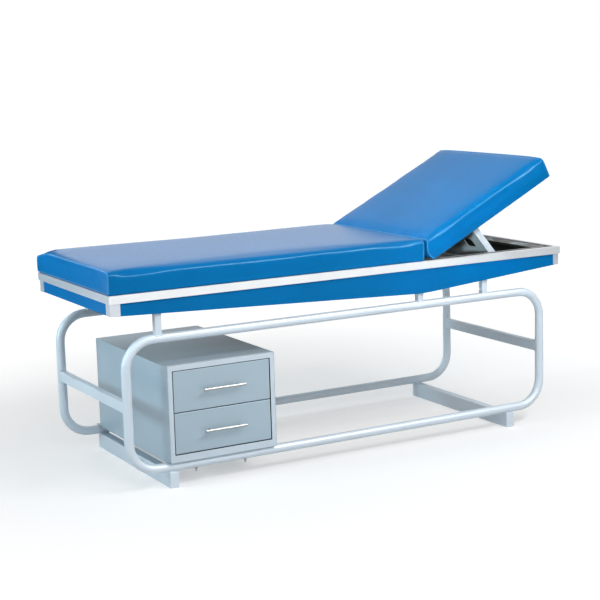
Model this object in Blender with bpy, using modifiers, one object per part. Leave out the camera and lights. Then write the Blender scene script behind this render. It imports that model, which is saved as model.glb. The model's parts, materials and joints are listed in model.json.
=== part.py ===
"""Examination table: padded couch with a raising backrest on a tubular stand, with a two-drawer cabinet.

Units are metres and +Z is up. The foot end is at -X and the head end at +X. The near side, towards
which the drawers open, is at -Y. The origin lies on the floor below the middle of the bed.
"""

import math

import bmesh
import bpy
from mathutils import Matrix, Vector

# Clearances
GAP = 0.0003            # between pieces that touch
RUN = 0.0005            # between pieces that slide or turn on each other
REVEAL = 0.003          # shadow gap round each drawer front

# Bed box
BED_LENGTH = 1.900
BED_WIDTH = 0.703
BED_TOP = 0.700         # top face of the trim, above the floor
TRIM_HEIGHT = 0.0284
TRIM_TOP_LEG = 0.0175
TRIM_LIP = 0.0042
TRIM_WALL = 0.002
TRIM_PROUD = 0.0045     # how far the trim stands out from the corner angles
FOOT_ANGLE_LEG = 0.037
HEAD_ANGLE_LEG = 0.025
ANGLE_WALL = 0.002
SKIRT_WALL = 0.0115
SKIRT_DROP = 0.071      # from the trim's top to the skirts' lower edges at the corners
KEEL_INSET = 0.642      # from the head end to the lowest point of the long skirts
KEEL_DROP = 0.1223      # from the trim's top to that point, before rounding
KEEL_ROUND = 0.050      # reach of the rounding to either side of it
FLOOR_SHEET = 0.0018    # sheet that closes the bed box from below
FLOOR_RISE = 0.0005     # of the sheet above the long skirts' lower edges
RAIL = 0.025            # square tube of the bed frame and the posts
RAIL_WALL = 0.0015
TUBE_CORNER = 0.003     # outer corner radius of the square and flat tubes

# Stand
LOOP_RADIUS = 0.01685   # tube radius
LOOP_BEND = 0.100       # bend radius at the tube's centre line
LOOP_DROP = 0.168       # from the trim's top to the upper run's centre line
LOOP_FOOT_INSET = 0.0605
LOOP_HEAD_INSET = 0.0788
BEND_STEPS = 8
BEAM_HEIGHT = 0.057
BEAM_WIDTH = 0.0347
BEAM_OVERHANG = 0.0159  # of the base beams beyond the loops' centre lines
BEAM_EDGE = 0.002
BEAM_FOOT_INSET = 0.2173   # from the bed's ends to the beams' middles
BEAM_HEAD_INSET = 0.2337
CROSS_HEIGHT = 0.039
CROSS_DEPTH = 0.025
CROSS_WALL = 0.002
CROSS_Z = 0.304
POST_FOOT_INSET = 0.183
POST_HEAD_INSET = 0.3505
POST_HINGE_INSET = 0.0428  # from the hinge axis to the middle posts

# Couch top
BOARD = 0.016
BOARD_INSET = 0.012     # from the cushion's sides to the board's edge
SEAT_BOARD_INSET = 0.006
SEAT_THICKNESS = 0.0755
BACK_LENGTH = 0.610     # from the hinge axis
BACK_THICKNESS = 0.081
BACK_OVERHANG = 0.0073  # of the flat backrest over the head end
CROWN = 0.005
BULGE = 0.004           # how far the cushion's sides swell at half height
DRAW = 0.003            # how far the sides pull in between the corners
CUSHION_EDGE = 0.013
NOSE = 0.016            # swell of the backrest cushion over the hinge
NOSE_LEAN = 0.008

# Backrest hinge
HINGE_GAP = 0.0393      # from the seat cushion's end to the axis
HINGE_RISE = 0.020      # of the axis above the trim
HINGE_INSET = 0.0595    # from the boards' side edges to the hinge's ends
KNUCKLES = 7
KNUCKLE_RADIUS = 0.005
KNUCKLE_GAP = 0.0006
PIN_RADIUS = 0.003
LEAF = 0.002
LEAF_REACH = 0.070      # of the fixed leaf, over the gap between the boards
LEAF_SHORT = 0.040      # of the moving leaf
BACK_BOARD_START = 0.0075
BACK_ANGLE = math.radians(26.7)
BACK_MAX = math.radians(40.0)

# Backrest prop and its racks
PROP_U = 0.240          # pivot's place along the backrest, from the hinge
PROP_DROP = 0.034       # pivot's depth below the hinge axis, square to the backrest
PROP_LENGTH = 0.200
PROP_ANGLE = math.radians(50.8)   # of the bars below the level, with the backrest at BACK_ANGLE
PROP_BAR = 0.025
PROP_BAR_WALL = 0.008
PROP_BAR_CLEAR = 0.0024 # from the racks to the bars
PROP_PLATE = 0.003
PROP_PLATE_START = 0.038
WINDOW_WIDTH = 0.055
WINDOW_HEIGHT = 0.044
WINDOW_INSET = 0.132    # from the bars to the windows' centres
WINDOW_S = 0.105        # centre of the windows along the prop
PIVOT_RADIUS = 0.005
BRACKET_CLEAR = 0.009   # from the bars to the brackets' cheeks
BRACKET_WALL = 0.004
BRACKET_WIDTH = 0.036
BRACKET_FLANGE = 0.024
RACK_WALL = 0.004
RACK_DROP = 0.0772      # from the trim's top to the racks' lower edges
RACK_EAR = 0.030
RACK_EAR_DROP = 0.006   # from the trim's top to the ears' tops
RACK_CLEAR = 0.012      # from the rod to the ears at either end of its travel
NOTCH_ANGLES = tuple(math.radians(a) for a in (13.35, 26.7, 39.0))
NOTCH_DEPTH = 0.009
NOTCH_SLANT = math.radians(62.0)
TRAVEL_STEPS = 80       # samples of the foot rod's travel
RACK_EDGE_STEPS = 20

# Cabinet
CABINET_INSET = 0.1935  # from the bed's foot end
CABINET_WIDTH = 0.4235
CABINET_OVERHANG = 0.025   # of its front over the near tube's centre line
CABINET_BACK_INSET = 0.025 # from the far tube's centre line to its back
CABINET_HEIGHT = 0.3437
SHEET = 0.0015
CURVE_IN = 0.008        # the foot-side panel curves in this much at the front
CURVE_DEPTH = 0.070     # over this depth
FRAME_DEPTH = 0.018
STILE = 0.016
TOP_RAIL = 0.019
BOTTOM_RAIL = 0.026
FRONT_WALL = 0.016
FRONT_EDGE = 0.0015
TRAY_BACK_GAP = 0.0734  # from the tray to the cabinet's back
TRAY_HEIGHT = 0.105
TRAY_SIDE_GAP = 0.004   # from the frame's window to the tray's sides
TRAY_LIFT = 0.011       # from the front's lower edge to the tray's floor
RUNNER_LEG = 0.030
RUNNER_LIP_UNDER = 0.008
RUNNER_START = 0.076    # behind the cabinet's front
RUNNER_BACK_GAP = 0.034
HANDLE_LENGTH = 0.160
HANDLE_POSTS = 0.113
HANDLE_RADIUS = 0.0048
HANDLE_POST_RADIUS = 0.0036
HANDLE_REACH = 0.0215   # from the front's face to the bar's centre line
HANDLE_RISE = 0.072     # from the front's lower edge to the bar
BOLT_INSET = 0.1145     # from the cabinet's foot side to the first bolts
BOLT_PITCH = 0.193
BOLT_RADIUS = 0.003
BOLT_HEAD_RADIUS = 0.0055
BOLT_HEAD = 0.004
BOLT_NUT = 0.005
BOLT_END = 0.0425       # height of the bolts' lower ends

# Derived places
HALF_LENGTH = BED_LENGTH / 2
HALF_WIDTH = BED_WIDTH / 2
SKIRT_INSET = TRIM_PROUD + ANGLE_WALL + GAP
SKIRT_TOP = BED_TOP - TRIM_WALL - GAP
SKIRT_END = BED_TOP - SKIRT_DROP
SKIRT_REACH = HALF_LENGTH - SKIRT_INSET
BOX_HALF_WIDTH = HALF_WIDTH - SKIRT_INSET - SKIRT_WALL - GAP   # inside the long skirts
RAIL_INSET = SKIRT_INSET + SKIRT_WALL + 2 * GAP
RAIL_Z = BED_TOP - GAP - RAIL / 2
LOOP_Y = HALF_WIDTH - RAIL_INSET - RAIL / 2
LOOP_TOP = BED_TOP - LOOP_DROP
LOOP_BOTTOM = BEAM_HEIGHT + GAP + LOOP_RADIUS
LOOP_START = -HALF_LENGTH + LOOP_FOOT_INSET
LOOP_END = HALF_LENGTH - LOOP_HEAD_INSET
HINGE_X = HALF_LENGTH + BACK_OVERHANG - BACK_LENGTH
SEAT_END = HINGE_X - HINGE_GAP
HINGE_LENGTH = 2 * (HALF_WIDTH - BOARD_INSET - HINGE_INSET)
BEAM_X = {"foot": -HALF_LENGTH + BEAM_FOOT_INSET, "head": HALF_LENGTH - BEAM_HEAD_INSET}
POST_X = {
    "foot": -HALF_LENGTH + POST_FOOT_INSET,
    "middle": HINGE_X - POST_HINGE_INSET,
    "head": HALF_LENGTH - POST_HEAD_INSET,
}
BOARD_LOW = BED_TOP + GAP
BOARD_TOP = BOARD_LOW + BOARD
COVER_LOW = BED_TOP + 2 * GAP
HINGE_Z = BED_TOP + HINGE_RISE
LEAF_LOW = BOARD_TOP + GAP - HINGE_Z
PROP_RATIO = PROP_ANGLE / BACK_ANGLE
RACK_Y = LOOP_Y - RAIL / 2 - GAP - RACK_WALL / 2
RACK_FLOOR = BED_TOP - RACK_DROP
RACK_EAR_TOP = BED_TOP - RACK_EAR_DROP
PROP_BAR_Y = RACK_Y - RACK_WALL / 2 - PROP_BAR_CLEAR - PROP_BAR_WALL / 2
BRACKET_Y = PROP_BAR_Y - PROP_BAR_WALL / 2 - BRACKET_CLEAR
WINDOW_Y = PROP_BAR_Y - WINDOW_INSET
CABINET_BASE = LOOP_BOTTOM + LOOP_RADIUS + GAP
CABINET_TOP = CABINET_BASE + CABINET_HEIGHT
CABINET_FOOT = -HALF_LENGTH + CABINET_INSET
CABINET_HEAD = CABINET_FOOT + CABINET_WIDTH
CABINET_FRONT = -LOOP_Y - CABINET_OVERHANG
CABINET_BACK = LOOP_Y - CABINET_BACK_INSET
BOLT_PLACES = {
    "near_foot": (CABINET_FOOT + BOLT_INSET, -LOOP_Y),
    "near_head": (CABINET_FOOT + BOLT_INSET + BOLT_PITCH, -LOOP_Y),
    "far": (CABINET_FOOT + BOLT_INSET + BOLT_PITCH / 2, LOOP_Y),
}
FRAME_FOOT = CABINET_FOOT + CURVE_IN + SHEET + GAP
FRAME_HEAD = CABINET_HEAD - SHEET - GAP
WINDOW_FOOT = FRAME_FOOT + STILE
WINDOW_HEAD = FRAME_HEAD - STILE
WINDOW_LOW = CABINET_BASE + BOTTOM_RAIL
WINDOW_HIGH = CABINET_TOP - TOP_RAIL
FRONT_HEIGHT = (WINDOW_HIGH - WINDOW_LOW - 3 * REVEAL) / 2
DRAWER_LOW = {"lower": WINDOW_LOW + REVEAL, "upper": WINDOW_LOW + 2 * REVEAL + FRONT_HEIGHT}
SIDES = {"near": -1, "far": 1}

ALONG_X = Matrix(((0, 0, 1, 0), (1, 0, 0, 0), (0, 1, 0, 0), (0, 0, 0, 1)))
ALONG_Y = Matrix.Rotation(math.pi / 2, 4, "X")
ALONG_Z = Matrix.Identity(4)

FINISHES = {
    "silver_paint": ((0.60, 0.66, 0.72), 0.35, 0.2),
    "aluminium": ((0.80, 0.81, 0.82), 0.30, 1.0),
    "blue_vinyl": ((0.004, 0.170, 0.520), 0.38, 0.0),
    "plywood": ((0.42, 0.30, 0.18), 0.75, 0.0),
    "zinc_plate": ((0.58, 0.60, 0.62), 0.40, 0.9),
    "cabinet_grey": ((0.31, 0.40, 0.47), 0.40, 0.1),
    "frame_grey": ((0.55, 0.63, 0.70), 0.40, 0.1),
    "stainless": ((0.70, 0.69, 0.66), 0.25, 1.0),
    "dark_primer": ((0.020, 0.026, 0.028), 0.60, 0.0),
}


def start_scene():
    """Clears the scene and gives the collections for the pieces and for the cutters."""
    for obj in list(bpy.data.objects):
        bpy.data.objects.remove(obj)
    collections = []
    for name in ("examination_table", "cutters"):
        collection = bpy.data.collections.new(name)
        bpy.context.scene.collection.children.link(collection)
        collections.append(collection)
    return collections


PIECES, CUTTERS = start_scene()


def finish(name):
    """The material of that name, made at its first use."""
    material = bpy.data.materials.get(name)
    if material is None:
        colour, roughness, metallic = FINISHES[name]
        material = bpy.data.materials.new(name)
        material.use_nodes = True
        shader = material.node_tree.nodes["Principled BSDF"]
        shader.inputs["Base Color"].default_value = (*colour, 1.0)
        shader.inputs["Roughness"].default_value = roughness
        shader.inputs["Metallic"].default_value = metallic
    return material


def piece(name, mesh, finish_name, location=(0, 0, 0), turn=0.0, parent=None):
    """A sub-part: its mesh, finish and place, turned about Z."""
    mesh.materials.clear()
    mesh.materials.append(finish(finish_name))
    obj = bpy.data.objects.new(name, mesh)
    obj.location = location
    obj.rotation_euler = (0, 0, turn)
    obj.parent = parent
    PIECES.objects.link(obj)
    return obj


def pivot(name, location, pitch=0.0, parent=None):
    """An empty on a joint's axis, with +X pitched up by that angle."""
    empty = bpy.data.objects.new(name, None)
    empty.location = location
    empty.rotation_euler = (0, -pitch, 0)
    empty.parent = parent
    PIECES.objects.link(empty)
    return empty


def boolean(obj, mesh, operation, parent=None):
    """Cuts the mesh from the object or joins it on, where the mesh lies in the parent's space."""
    tool = bpy.data.objects.new(f"{obj.name}_{operation.lower()}_{len(CUTTERS.objects)}", mesh)
    tool.parent = parent
    tool.hide_render = True
    tool.display_type = "WIRE"
    CUTTERS.objects.link(tool)
    modifier = obj.modifiers.new(operation.title(), "BOOLEAN")
    modifier.operation = operation
    modifier.object = tool
    return tool


def smooth(mesh, angle=35):
    """Shades a round mesh smooth, with its hard edges kept."""
    mesh.shade_smooth()
    mesh.set_sharp_from_angle(angle=math.radians(angle))
    return mesh


def mesh_of_curve(curve):
    """The closed mesh of a curve, with its caps welded on."""
    source = bpy.data.objects.new("curve_source", curve)
    bpy.context.scene.collection.objects.link(source)
    evaluated = source.evaluated_get(bpy.context.evaluated_depsgraph_get())
    mesh = bpy.data.meshes.new_from_object(evaluated)
    bpy.data.objects.remove(source)
    form = bmesh.new()
    form.from_mesh(mesh)
    bmesh.ops.remove_doubles(form, verts=form.verts, dist=1e-5)
    bmesh.ops.recalc_face_normals(form, faces=form.faces)
    form.to_mesh(mesh)
    form.free()
    return mesh


def outline_mesh(loops, depth, along=ALONG_Z):
    """A flat outline, with any inner loops as holes, extruded by depth about its own plane."""
    curve = bpy.data.curves.new("outline", "CURVE")
    curve.dimensions = "2D"
    curve.fill_mode = "BOTH"
    curve.extrude = depth / 2
    for loop in loops:
        spline = curve.splines.new("POLY")
        spline.points.add(len(loop) - 1)
        for point, (x, y) in zip(spline.points, loop):
            point.co = (x, y, 0, 1)
        spline.use_cyclic_u = True
    mesh = mesh_of_curve(curve)
    mesh.transform(along)
    return mesh


def pipe_mesh(points, radius, cyclic=False, resolution=6):
    """A round tube along the points."""
    curve = bpy.data.curves.new("pipe", "CURVE")
    curve.dimensions = "3D"
    curve.bevel_depth = radius
    curve.bevel_resolution = resolution
    curve.use_fill_caps = not cyclic
    spline = curve.splines.new("POLY")
    spline.points.add(len(points) - 1)
    for point, place in zip(spline.points, points):
        point.co = (*place, 1)
    spline.use_cyclic_u = cyclic
    return smooth(mesh_of_curve(curve))


def box_mesh(low, high):
    """A box between two corners."""
    form = bmesh.new()
    bmesh.ops.create_cube(form, size=1.0)
    low, high = Vector(low), Vector(high)
    bmesh.ops.scale(form, vec=high - low, verts=form.verts)
    bmesh.ops.translate(form, vec=(low + high) / 2, verts=form.verts)
    mesh = bpy.data.meshes.new("box")
    form.to_mesh(mesh)
    form.free()
    return mesh


def rod_mesh(start, end, radius, sides=20):
    """A round rod between two points, its facets lying inside the true radius."""
    start, end = Vector(start), Vector(end)
    form = bmesh.new()
    bmesh.ops.create_cone(
        form, cap_ends=True, segments=sides, radius1=radius, radius2=radius, depth=(end - start).length
    )
    turn = (end - start).to_track_quat("Z", "Y").to_matrix().to_4x4()
    bmesh.ops.transform(form, matrix=Matrix.Translation((start + end) / 2) @ turn, verts=form.verts)
    mesh = bpy.data.meshes.new("rod")
    form.to_mesh(mesh)
    form.free()
    return smooth(mesh)


def joined(meshes):
    """Several separate meshes as one, for a tool that cuts in many places."""
    form = bmesh.new()
    for mesh in meshes:
        form.from_mesh(mesh)
    result = bpy.data.meshes.new("joined")
    form.to_mesh(result)
    form.free()
    return result


def bevel(obj, width, segments=1):
    modifier = obj.modifiers.new("Bevel", "BEVEL")
    modifier.width = width
    modifier.segments = segments


def arc(centre, radius, start, end, steps):
    """Points on an arc, from one angle in degrees to another."""
    angles = [math.radians(start + (end - start) * i / steps) for i in range(steps + 1)]
    return [(centre[0] + radius * math.cos(a), centre[1] + radius * math.sin(a)) for a in angles]


def circle(centre, radius, sides=20):
    return arc(centre, radius, 0, 360, sides)[:-1]


def rounded_rectangle(low, high, radius, steps=2):
    """A rectangle's outline with round corners."""
    (x0, y0), (x1, y1) = low, high
    corners = ((x1, y1, 0), (x0, y1, 90), (x0, y0, 180), (x1, y0, 270))
    points = []
    for x, y, angle in corners:
        centre = (x - math.copysign(radius, x - x0 - 1e-9), y - math.copysign(radius, y - y0 - 1e-9))
        points += arc(centre, radius, angle, angle + 90, steps)
    return points


def flowing_edge(start, start_slope, end, end_slope, steps=10):
    """Points on a smooth edge between two places, leaving and arriving at the given slopes."""
    span = end[0] - start[0]
    points = []
    for i in range(steps + 1):
        t = i / steps
        rise = (
            (2 * t**3 - 3 * t**2 + 1) * start[1]
            + (t**3 - 2 * t**2 + t) * span * start_slope
            + (3 * t**2 - 2 * t**3) * end[1]
            + (t**3 - t**2) * span * end_slope
        )
        points.append((start[0] + span * t, rise))
    return points


def flat_tube_mesh(width, height, wall, length, along):
    """A hollow rectangular tube, open at its ends."""
    half = (width / 2, height / 2)
    inner = (half[0] - wall, half[1] - wall)
    loops = [
        rounded_rectangle((-half[0], -half[1]), half, TUBE_CORNER),
        rounded_rectangle((-inner[0], -inner[1]), inner, TUBE_CORNER - wall),
    ]
    return outline_mesh(loops, length, along)


def loop_path(y):
    """The centre line of a stand loop, a round-cornered rectangle standing on edge."""
    flat = rounded_rectangle((LOOP_START, LOOP_BOTTOM), (LOOP_END, LOOP_TOP), LOOP_BEND, BEND_STEPS)
    return [(x, y, z) for x, z in flat]


def make_stand():
    """Two tube loops on two floor beams, tied by cross bars, with posts up to the bed."""
    for side, sign in SIDES.items():
        loop = piece(f"loop_{side}", pipe_mesh(loop_path(sign * LOOP_Y), LOOP_RADIUS, True), "silver_paint")
        holes = [
            rod_mesh((x, y, 0), (x, y, LOOP_BOTTOM * 2), BOLT_RADIUS + GAP, 12)
            for x, y in BOLT_PLACES.values()
            if y * sign > 0
        ]
        boolean(loop, joined(holes), "DIFFERENCE")
    for end, x in BEAM_X.items():
        low = (x - BEAM_WIDTH / 2, -LOOP_Y - BEAM_OVERHANG, 0)
        high = (x + BEAM_WIDTH / 2, LOOP_Y + BEAM_OVERHANG, BEAM_HEIGHT)
        bevel(piece(f"{end}_base_beam", box_mesh(low, high), "silver_paint"), BEAM_EDGE, 2)
    for end, x in (("foot", LOOP_START), ("head", LOOP_END)):
        bar = piece(
            f"{end}_cross_bar",
            flat_tube_mesh(CROSS_DEPTH, CROSS_HEIGHT, CROSS_WALL, 2 * LOOP_Y, ALONG_Y),
            "silver_paint",
            (x, 0, CROSS_Z),
        )
        tubes = [
            rod_mesh((x, sign * LOOP_Y, 0), (x, sign * LOOP_Y, LOOP_TOP), LOOP_RADIUS + GAP, 24)
            for sign in SIDES.values()
        ]
        boolean(bar, joined(tubes), "DIFFERENCE")
    post_top = RAIL_Z - RAIL / 2 - GAP
    for side, sign in SIDES.items():
        tube = rod_mesh(
            (LOOP_START, sign * LOOP_Y, LOOP_TOP), (LOOP_END, sign * LOOP_Y, LOOP_TOP), LOOP_RADIUS + GAP, 24
        )
        for end, x in POST_X.items():
            post = piece(
                f"post_{side}_{end}",
                flat_tube_mesh(RAIL, RAIL, RAIL_WALL, post_top - LOOP_TOP, ALONG_Z),
                "silver_paint",
                (x, sign * LOOP_Y, (post_top + LOOP_TOP) / 2),
            )
            boolean(post, tube.copy(), "DIFFERENCE")


def trim_mesh(length):
    """A mitred channel trim: outer face, leg over the top edge and lip below, along X, depth along Y."""
    profile = [
        (0, 0),
        (0, -TRIM_HEIGHT),
        (TRIM_LIP, -TRIM_HEIGHT),
        (TRIM_LIP, TRIM_WALL - TRIM_HEIGHT),
        (TRIM_WALL, TRIM_WALL - TRIM_HEIGHT),
        (TRIM_WALL, -TRIM_WALL),
        (TRIM_TOP_LEG, -TRIM_WALL),
        (TRIM_TOP_LEG, 0),
    ]
    mesh = outline_mesh([profile], length, ALONG_X)
    for vertex in mesh.vertices:
        pull = vertex.co.y + GAP / 2
        vertex.co.x -= math.copysign(pull, vertex.co.x)
    return mesh


def make_trim():
    """The aluminium channel round the bed's top edge and the angles over its corners."""
    runs = {
        "near": (BED_LENGTH, (0, -HALF_WIDTH), 0),
        "head": (BED_WIDTH, (HALF_LENGTH, 0), 90),
        "far": (BED_LENGTH, (0, HALF_WIDTH), 180),
        "foot": (BED_WIDTH, (-HALF_LENGTH, 0), 270),
    }
    for name, (length, (x, y), turn) in runs.items():
        piece(f"trim_{name}", trim_mesh(length), "aluminium", (x, y, BED_TOP), math.radians(turn))
    top = BED_TOP - TRIM_HEIGHT - GAP
    corners = {
        "near_foot": (-1, -1, 0, FOOT_ANGLE_LEG),
        "near_head": (1, -1, 90, HEAD_ANGLE_LEG),
        "far_head": (1, 1, 180, HEAD_ANGLE_LEG),
        "far_foot": (-1, 1, 270, FOOT_ANGLE_LEG),
    }
    for name, (along, across, turn, leg) in corners.items():
        profile = [(0, 0), (leg, 0), (leg, ANGLE_WALL), (ANGLE_WALL, ANGLE_WALL), (ANGLE_WALL, leg), (0, leg)]
        place = (
            along * (HALF_LENGTH - TRIM_PROUD),
            across * (HALF_WIDTH - TRIM_PROUD),
            (top + SKIRT_END) / 2,
        )
        mesh = outline_mesh([profile], top - SKIRT_END)
        piece(f"corner_angle_{name}", mesh, "aluminium", place, math.radians(turn))


def keel_line(reach, rise):
    """The long skirts' lower edge, raised and cut at the reach: two straights that meet in a round keel."""
    keel_x, keel_z = HALF_LENGTH - KEEL_INSET, BED_TOP - KEEL_DROP + rise
    foot_slope = -(KEEL_DROP - SKIRT_DROP) / (SKIRT_REACH + keel_x)
    head_slope = (KEEL_DROP - SKIRT_DROP) / (SKIRT_REACH - keel_x)
    start = (keel_x - KEEL_ROUND, keel_z - foot_slope * KEEL_ROUND)
    end = (keel_x + KEEL_ROUND, keel_z + head_slope * KEEL_ROUND)
    foot, head = keel_z - foot_slope * (reach + keel_x), keel_z + head_slope * (reach - keel_x)
    return [(-reach, foot), *flowing_edge(start, foot_slope, end, head_slope, 6), (reach, head)]


def make_skirts():
    """The vinyl-clad panels: boat-shaped along the sides, straight across the ends."""
    side_outline = [(SKIRT_REACH, SKIRT_TOP), (-SKIRT_REACH, SKIRT_TOP)] + keel_line(SKIRT_REACH, 0)
    for side, sign in SIDES.items():
        y = sign * (HALF_WIDTH - SKIRT_INSET - SKIRT_WALL / 2)
        piece(f"skirt_{side}", outline_mesh([side_outline], SKIRT_WALL, ALONG_Y), "blue_vinyl", (0, y, 0))
    for end, sign in (("foot", -1), ("head", 1)):
        low_x, high_x = sorted((sign * SKIRT_REACH, sign * (SKIRT_REACH - SKIRT_WALL)))
        panel = box_mesh((low_x, -BOX_HALF_WIDTH, SKIRT_END), (high_x, BOX_HALF_WIDTH, SKIRT_TOP))
        piece(f"skirt_{end}", panel, "blue_vinyl")


def make_bed_floor():
    """The bent sheet that closes the bed box from below, notched round the posts."""
    reach = SKIRT_REACH - SKIRT_WALL - GAP
    outline = keel_line(reach, FLOOR_RISE) + keel_line(reach, FLOOR_RISE + FLOOR_SHEET)[::-1]
    sheet = piece("bed_floor", outline_mesh([outline], 2 * BOX_HALF_WIDTH, ALONG_Y), "dark_primer")
    half, inner = RAIL / 2 + GAP, LOOP_Y - RAIL / 2 - GAP
    notches = []
    for sign in SIDES.values():
        low_y, high_y = sorted((sign * inner, sign * HALF_WIDTH))
        for x in POST_X.values():
            notches.append(box_mesh((x - half, low_y, LOOP_TOP), (x + half, high_y, BED_TOP)))
    boolean(sheet, joined(notches), "DIFFERENCE")


def make_bed_frame():
    """The welded square-tube frame inside the skirts."""
    reach = HALF_LENGTH - RAIL_INSET
    for side, sign in SIDES.items():
        tube = flat_tube_mesh(RAIL, RAIL, RAIL_WALL, 2 * reach, ALONG_X)
        piece(f"side_rail_{side}", tube, "dark_primer", (0, sign * LOOP_Y, RAIL_Z))
    across = 2 * (LOOP_Y - GAP) - RAIL
    places = {"foot_rail": -reach + RAIL / 2, "hinge_rail": SEAT_END - RAIL, "head_rail": reach - RAIL / 2}
    for name, x in places.items():
        tube = flat_tube_mesh(RAIL, RAIL, RAIL_WALL, across, ALONG_Y)
        piece(name, tube, "dark_primer", (x, 0, RAIL_Z))


def cushion_mesh(low, high, end_shift=None):
    """A stuffed cushion's cage: crowned top, swelling sides that pull in between the corners."""
    low, high = Vector(low), Vector(high)
    mesh = box_mesh(low, high)
    form = bmesh.new()
    form.from_mesh(mesh)
    middle, half = (low + high) / 2, (high - low) / 2
    inner_cuts = ((-0.6, -0.2, 0.2, 0.6), (-0.4, 0.4), (0.0,))
    for axis, shares in enumerate(inner_cuts):
        edge = half[axis] - CUSHION_EDGE
        for offset in (-edge, *(share * half[axis] for share in shares), edge):
            place = middle.copy()
            place[axis] += offset
            normal = Vector((axis == 0, axis == 1, axis == 2))
            geometry = form.verts[:] + form.edges[:] + form.faces[:]
            bmesh.ops.bisect_plane(form, geom=geometry, plane_co=place, plane_no=normal)
    for vertex in form.verts:
        along = (vertex.co.x - middle.x) / half.x
        across = (vertex.co.y - middle.y) / half.y
        rise = (vertex.co.z - low.z) / (high.z - low.z)
        swell = BULGE * math.sin(math.pi * rise)
        if abs(along) > 0.999:
            vertex.co.x += math.copysign(swell - DRAW * rise * (1 - across**2), along)
        if abs(across) > 0.999:
            vertex.co.y += math.copysign(swell - DRAW * rise * (1 - along**2), across)
        vertex.co.z += CROWN * rise**4 * (1 - along**2) * (1 - across**2)
        if end_shift and along < -0.8:
            vertex.co.x += end_shift(rise)
    form.to_mesh(mesh)
    form.free()
    mesh.shade_smooth()
    return mesh


def stuffed(name, low, high, pockets, parent=None, end_shift=None):
    """A cushion with the pockets that its board and hinge sit in."""
    obj = piece(name, cushion_mesh(low, high, end_shift), "blue_vinyl", parent=parent)
    surface = obj.modifiers.new("Subdivision", "SUBSURF")
    surface.levels = surface.render_levels = 1
    for pocket in pockets:
        boolean(obj, pocket, "DIFFERENCE", parent)


def make_seat():
    """The fixed part of the couch top: a board with its cushion drawn over it."""
    board_low = (-HALF_LENGTH + BOARD_INSET, -HALF_WIDTH + BOARD_INSET, BOARD_LOW)
    board_high = (SEAT_END - SEAT_BOARD_INSET, HALF_WIDTH - BOARD_INSET, BOARD_TOP)
    piece("seat_board", box_mesh(board_low, board_high), "plywood")
    below = Vector((GAP, GAP, BOARD))
    leaf_half = HINGE_LENGTH / 2 + RUN
    pockets = [
        box_mesh(Vector(board_low) - below, Vector(board_high) + Vector((GAP, GAP, GAP))),
        box_mesh(
            (HINGE_X - LEAF_REACH - RUN, -leaf_half, BOARD_LOW),
            (HINGE_X, leaf_half, HINGE_Z + LEAF_LOW + LEAF + GAP),
        ),
    ]
    low = (-HALF_LENGTH, -HALF_WIDTH, COVER_LOW)
    high = (SEAT_END, HALF_WIDTH, COVER_LOW + SEAT_THICKNESS)
    stuffed("seat_cushion", low, high, pockets)


def leaf_mesh(reach, odd):
    """One leaf of the hinge along +X, with every second knuckle, about the hinge axis."""
    top, bottom = LEAF_LOW + LEAF, LEAF_LOW
    start = math.degrees(math.asin(top / KNUCKLE_RADIUS))
    end = 360 + math.degrees(math.asin(bottom / KNUCKLE_RADIUS))
    profile = arc((0, 0), KNUCKLE_RADIUS, start, end, 18) + [(reach, bottom), (reach, top)]
    mesh = outline_mesh([profile, circle((0, 0), PIN_RADIUS + GAP, 16)], HINGE_LENGTH, ALONG_Y)
    pitch = HINGE_LENGTH / KNUCKLES
    spaces = []
    for i in range(KNUCKLES):
        if i % 2 != odd:
            middle = -HINGE_LENGTH / 2 + pitch * (i + 0.5)
            half = pitch / 2 + KNUCKLE_GAP / 2
            wide = KNUCKLE_RADIUS * 1.2
            spaces.append(box_mesh((-wide, middle - half, -wide), (wide, middle + half, wide)))
    return smooth(mesh), joined(spaces)


def make_hinge(backrest):
    """A long hinge between the two boards: fixed leaf, moving leaf and pin."""
    axis = pivot("hinge_axis", (HINGE_X, 0, HINGE_Z))
    flip = Matrix.Rotation(math.pi, 4, "Z")
    fixed, fixed_spaces = leaf_mesh(LEAF_REACH, 0)
    for mesh in (fixed, fixed_spaces):
        mesh.transform(flip)
    boolean(piece("hinge_fixed_leaf", fixed, "zinc_plate", parent=axis), fixed_spaces, "DIFFERENCE", axis)
    moving, moving_spaces = leaf_mesh(LEAF_SHORT, 1)
    moving_leaf = piece("hinge_moving_leaf", moving, "zinc_plate", parent=backrest)
    boolean(moving_leaf, moving_spaces, "DIFFERENCE", backrest)
    half = HINGE_LENGTH / 2 + KNUCKLE_RADIUS / 2
    piece("hinge_pin", rod_mesh((0, -half, 0), (0, half, 0), PIN_RADIUS, 16), "stainless", parent=axis)


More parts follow.
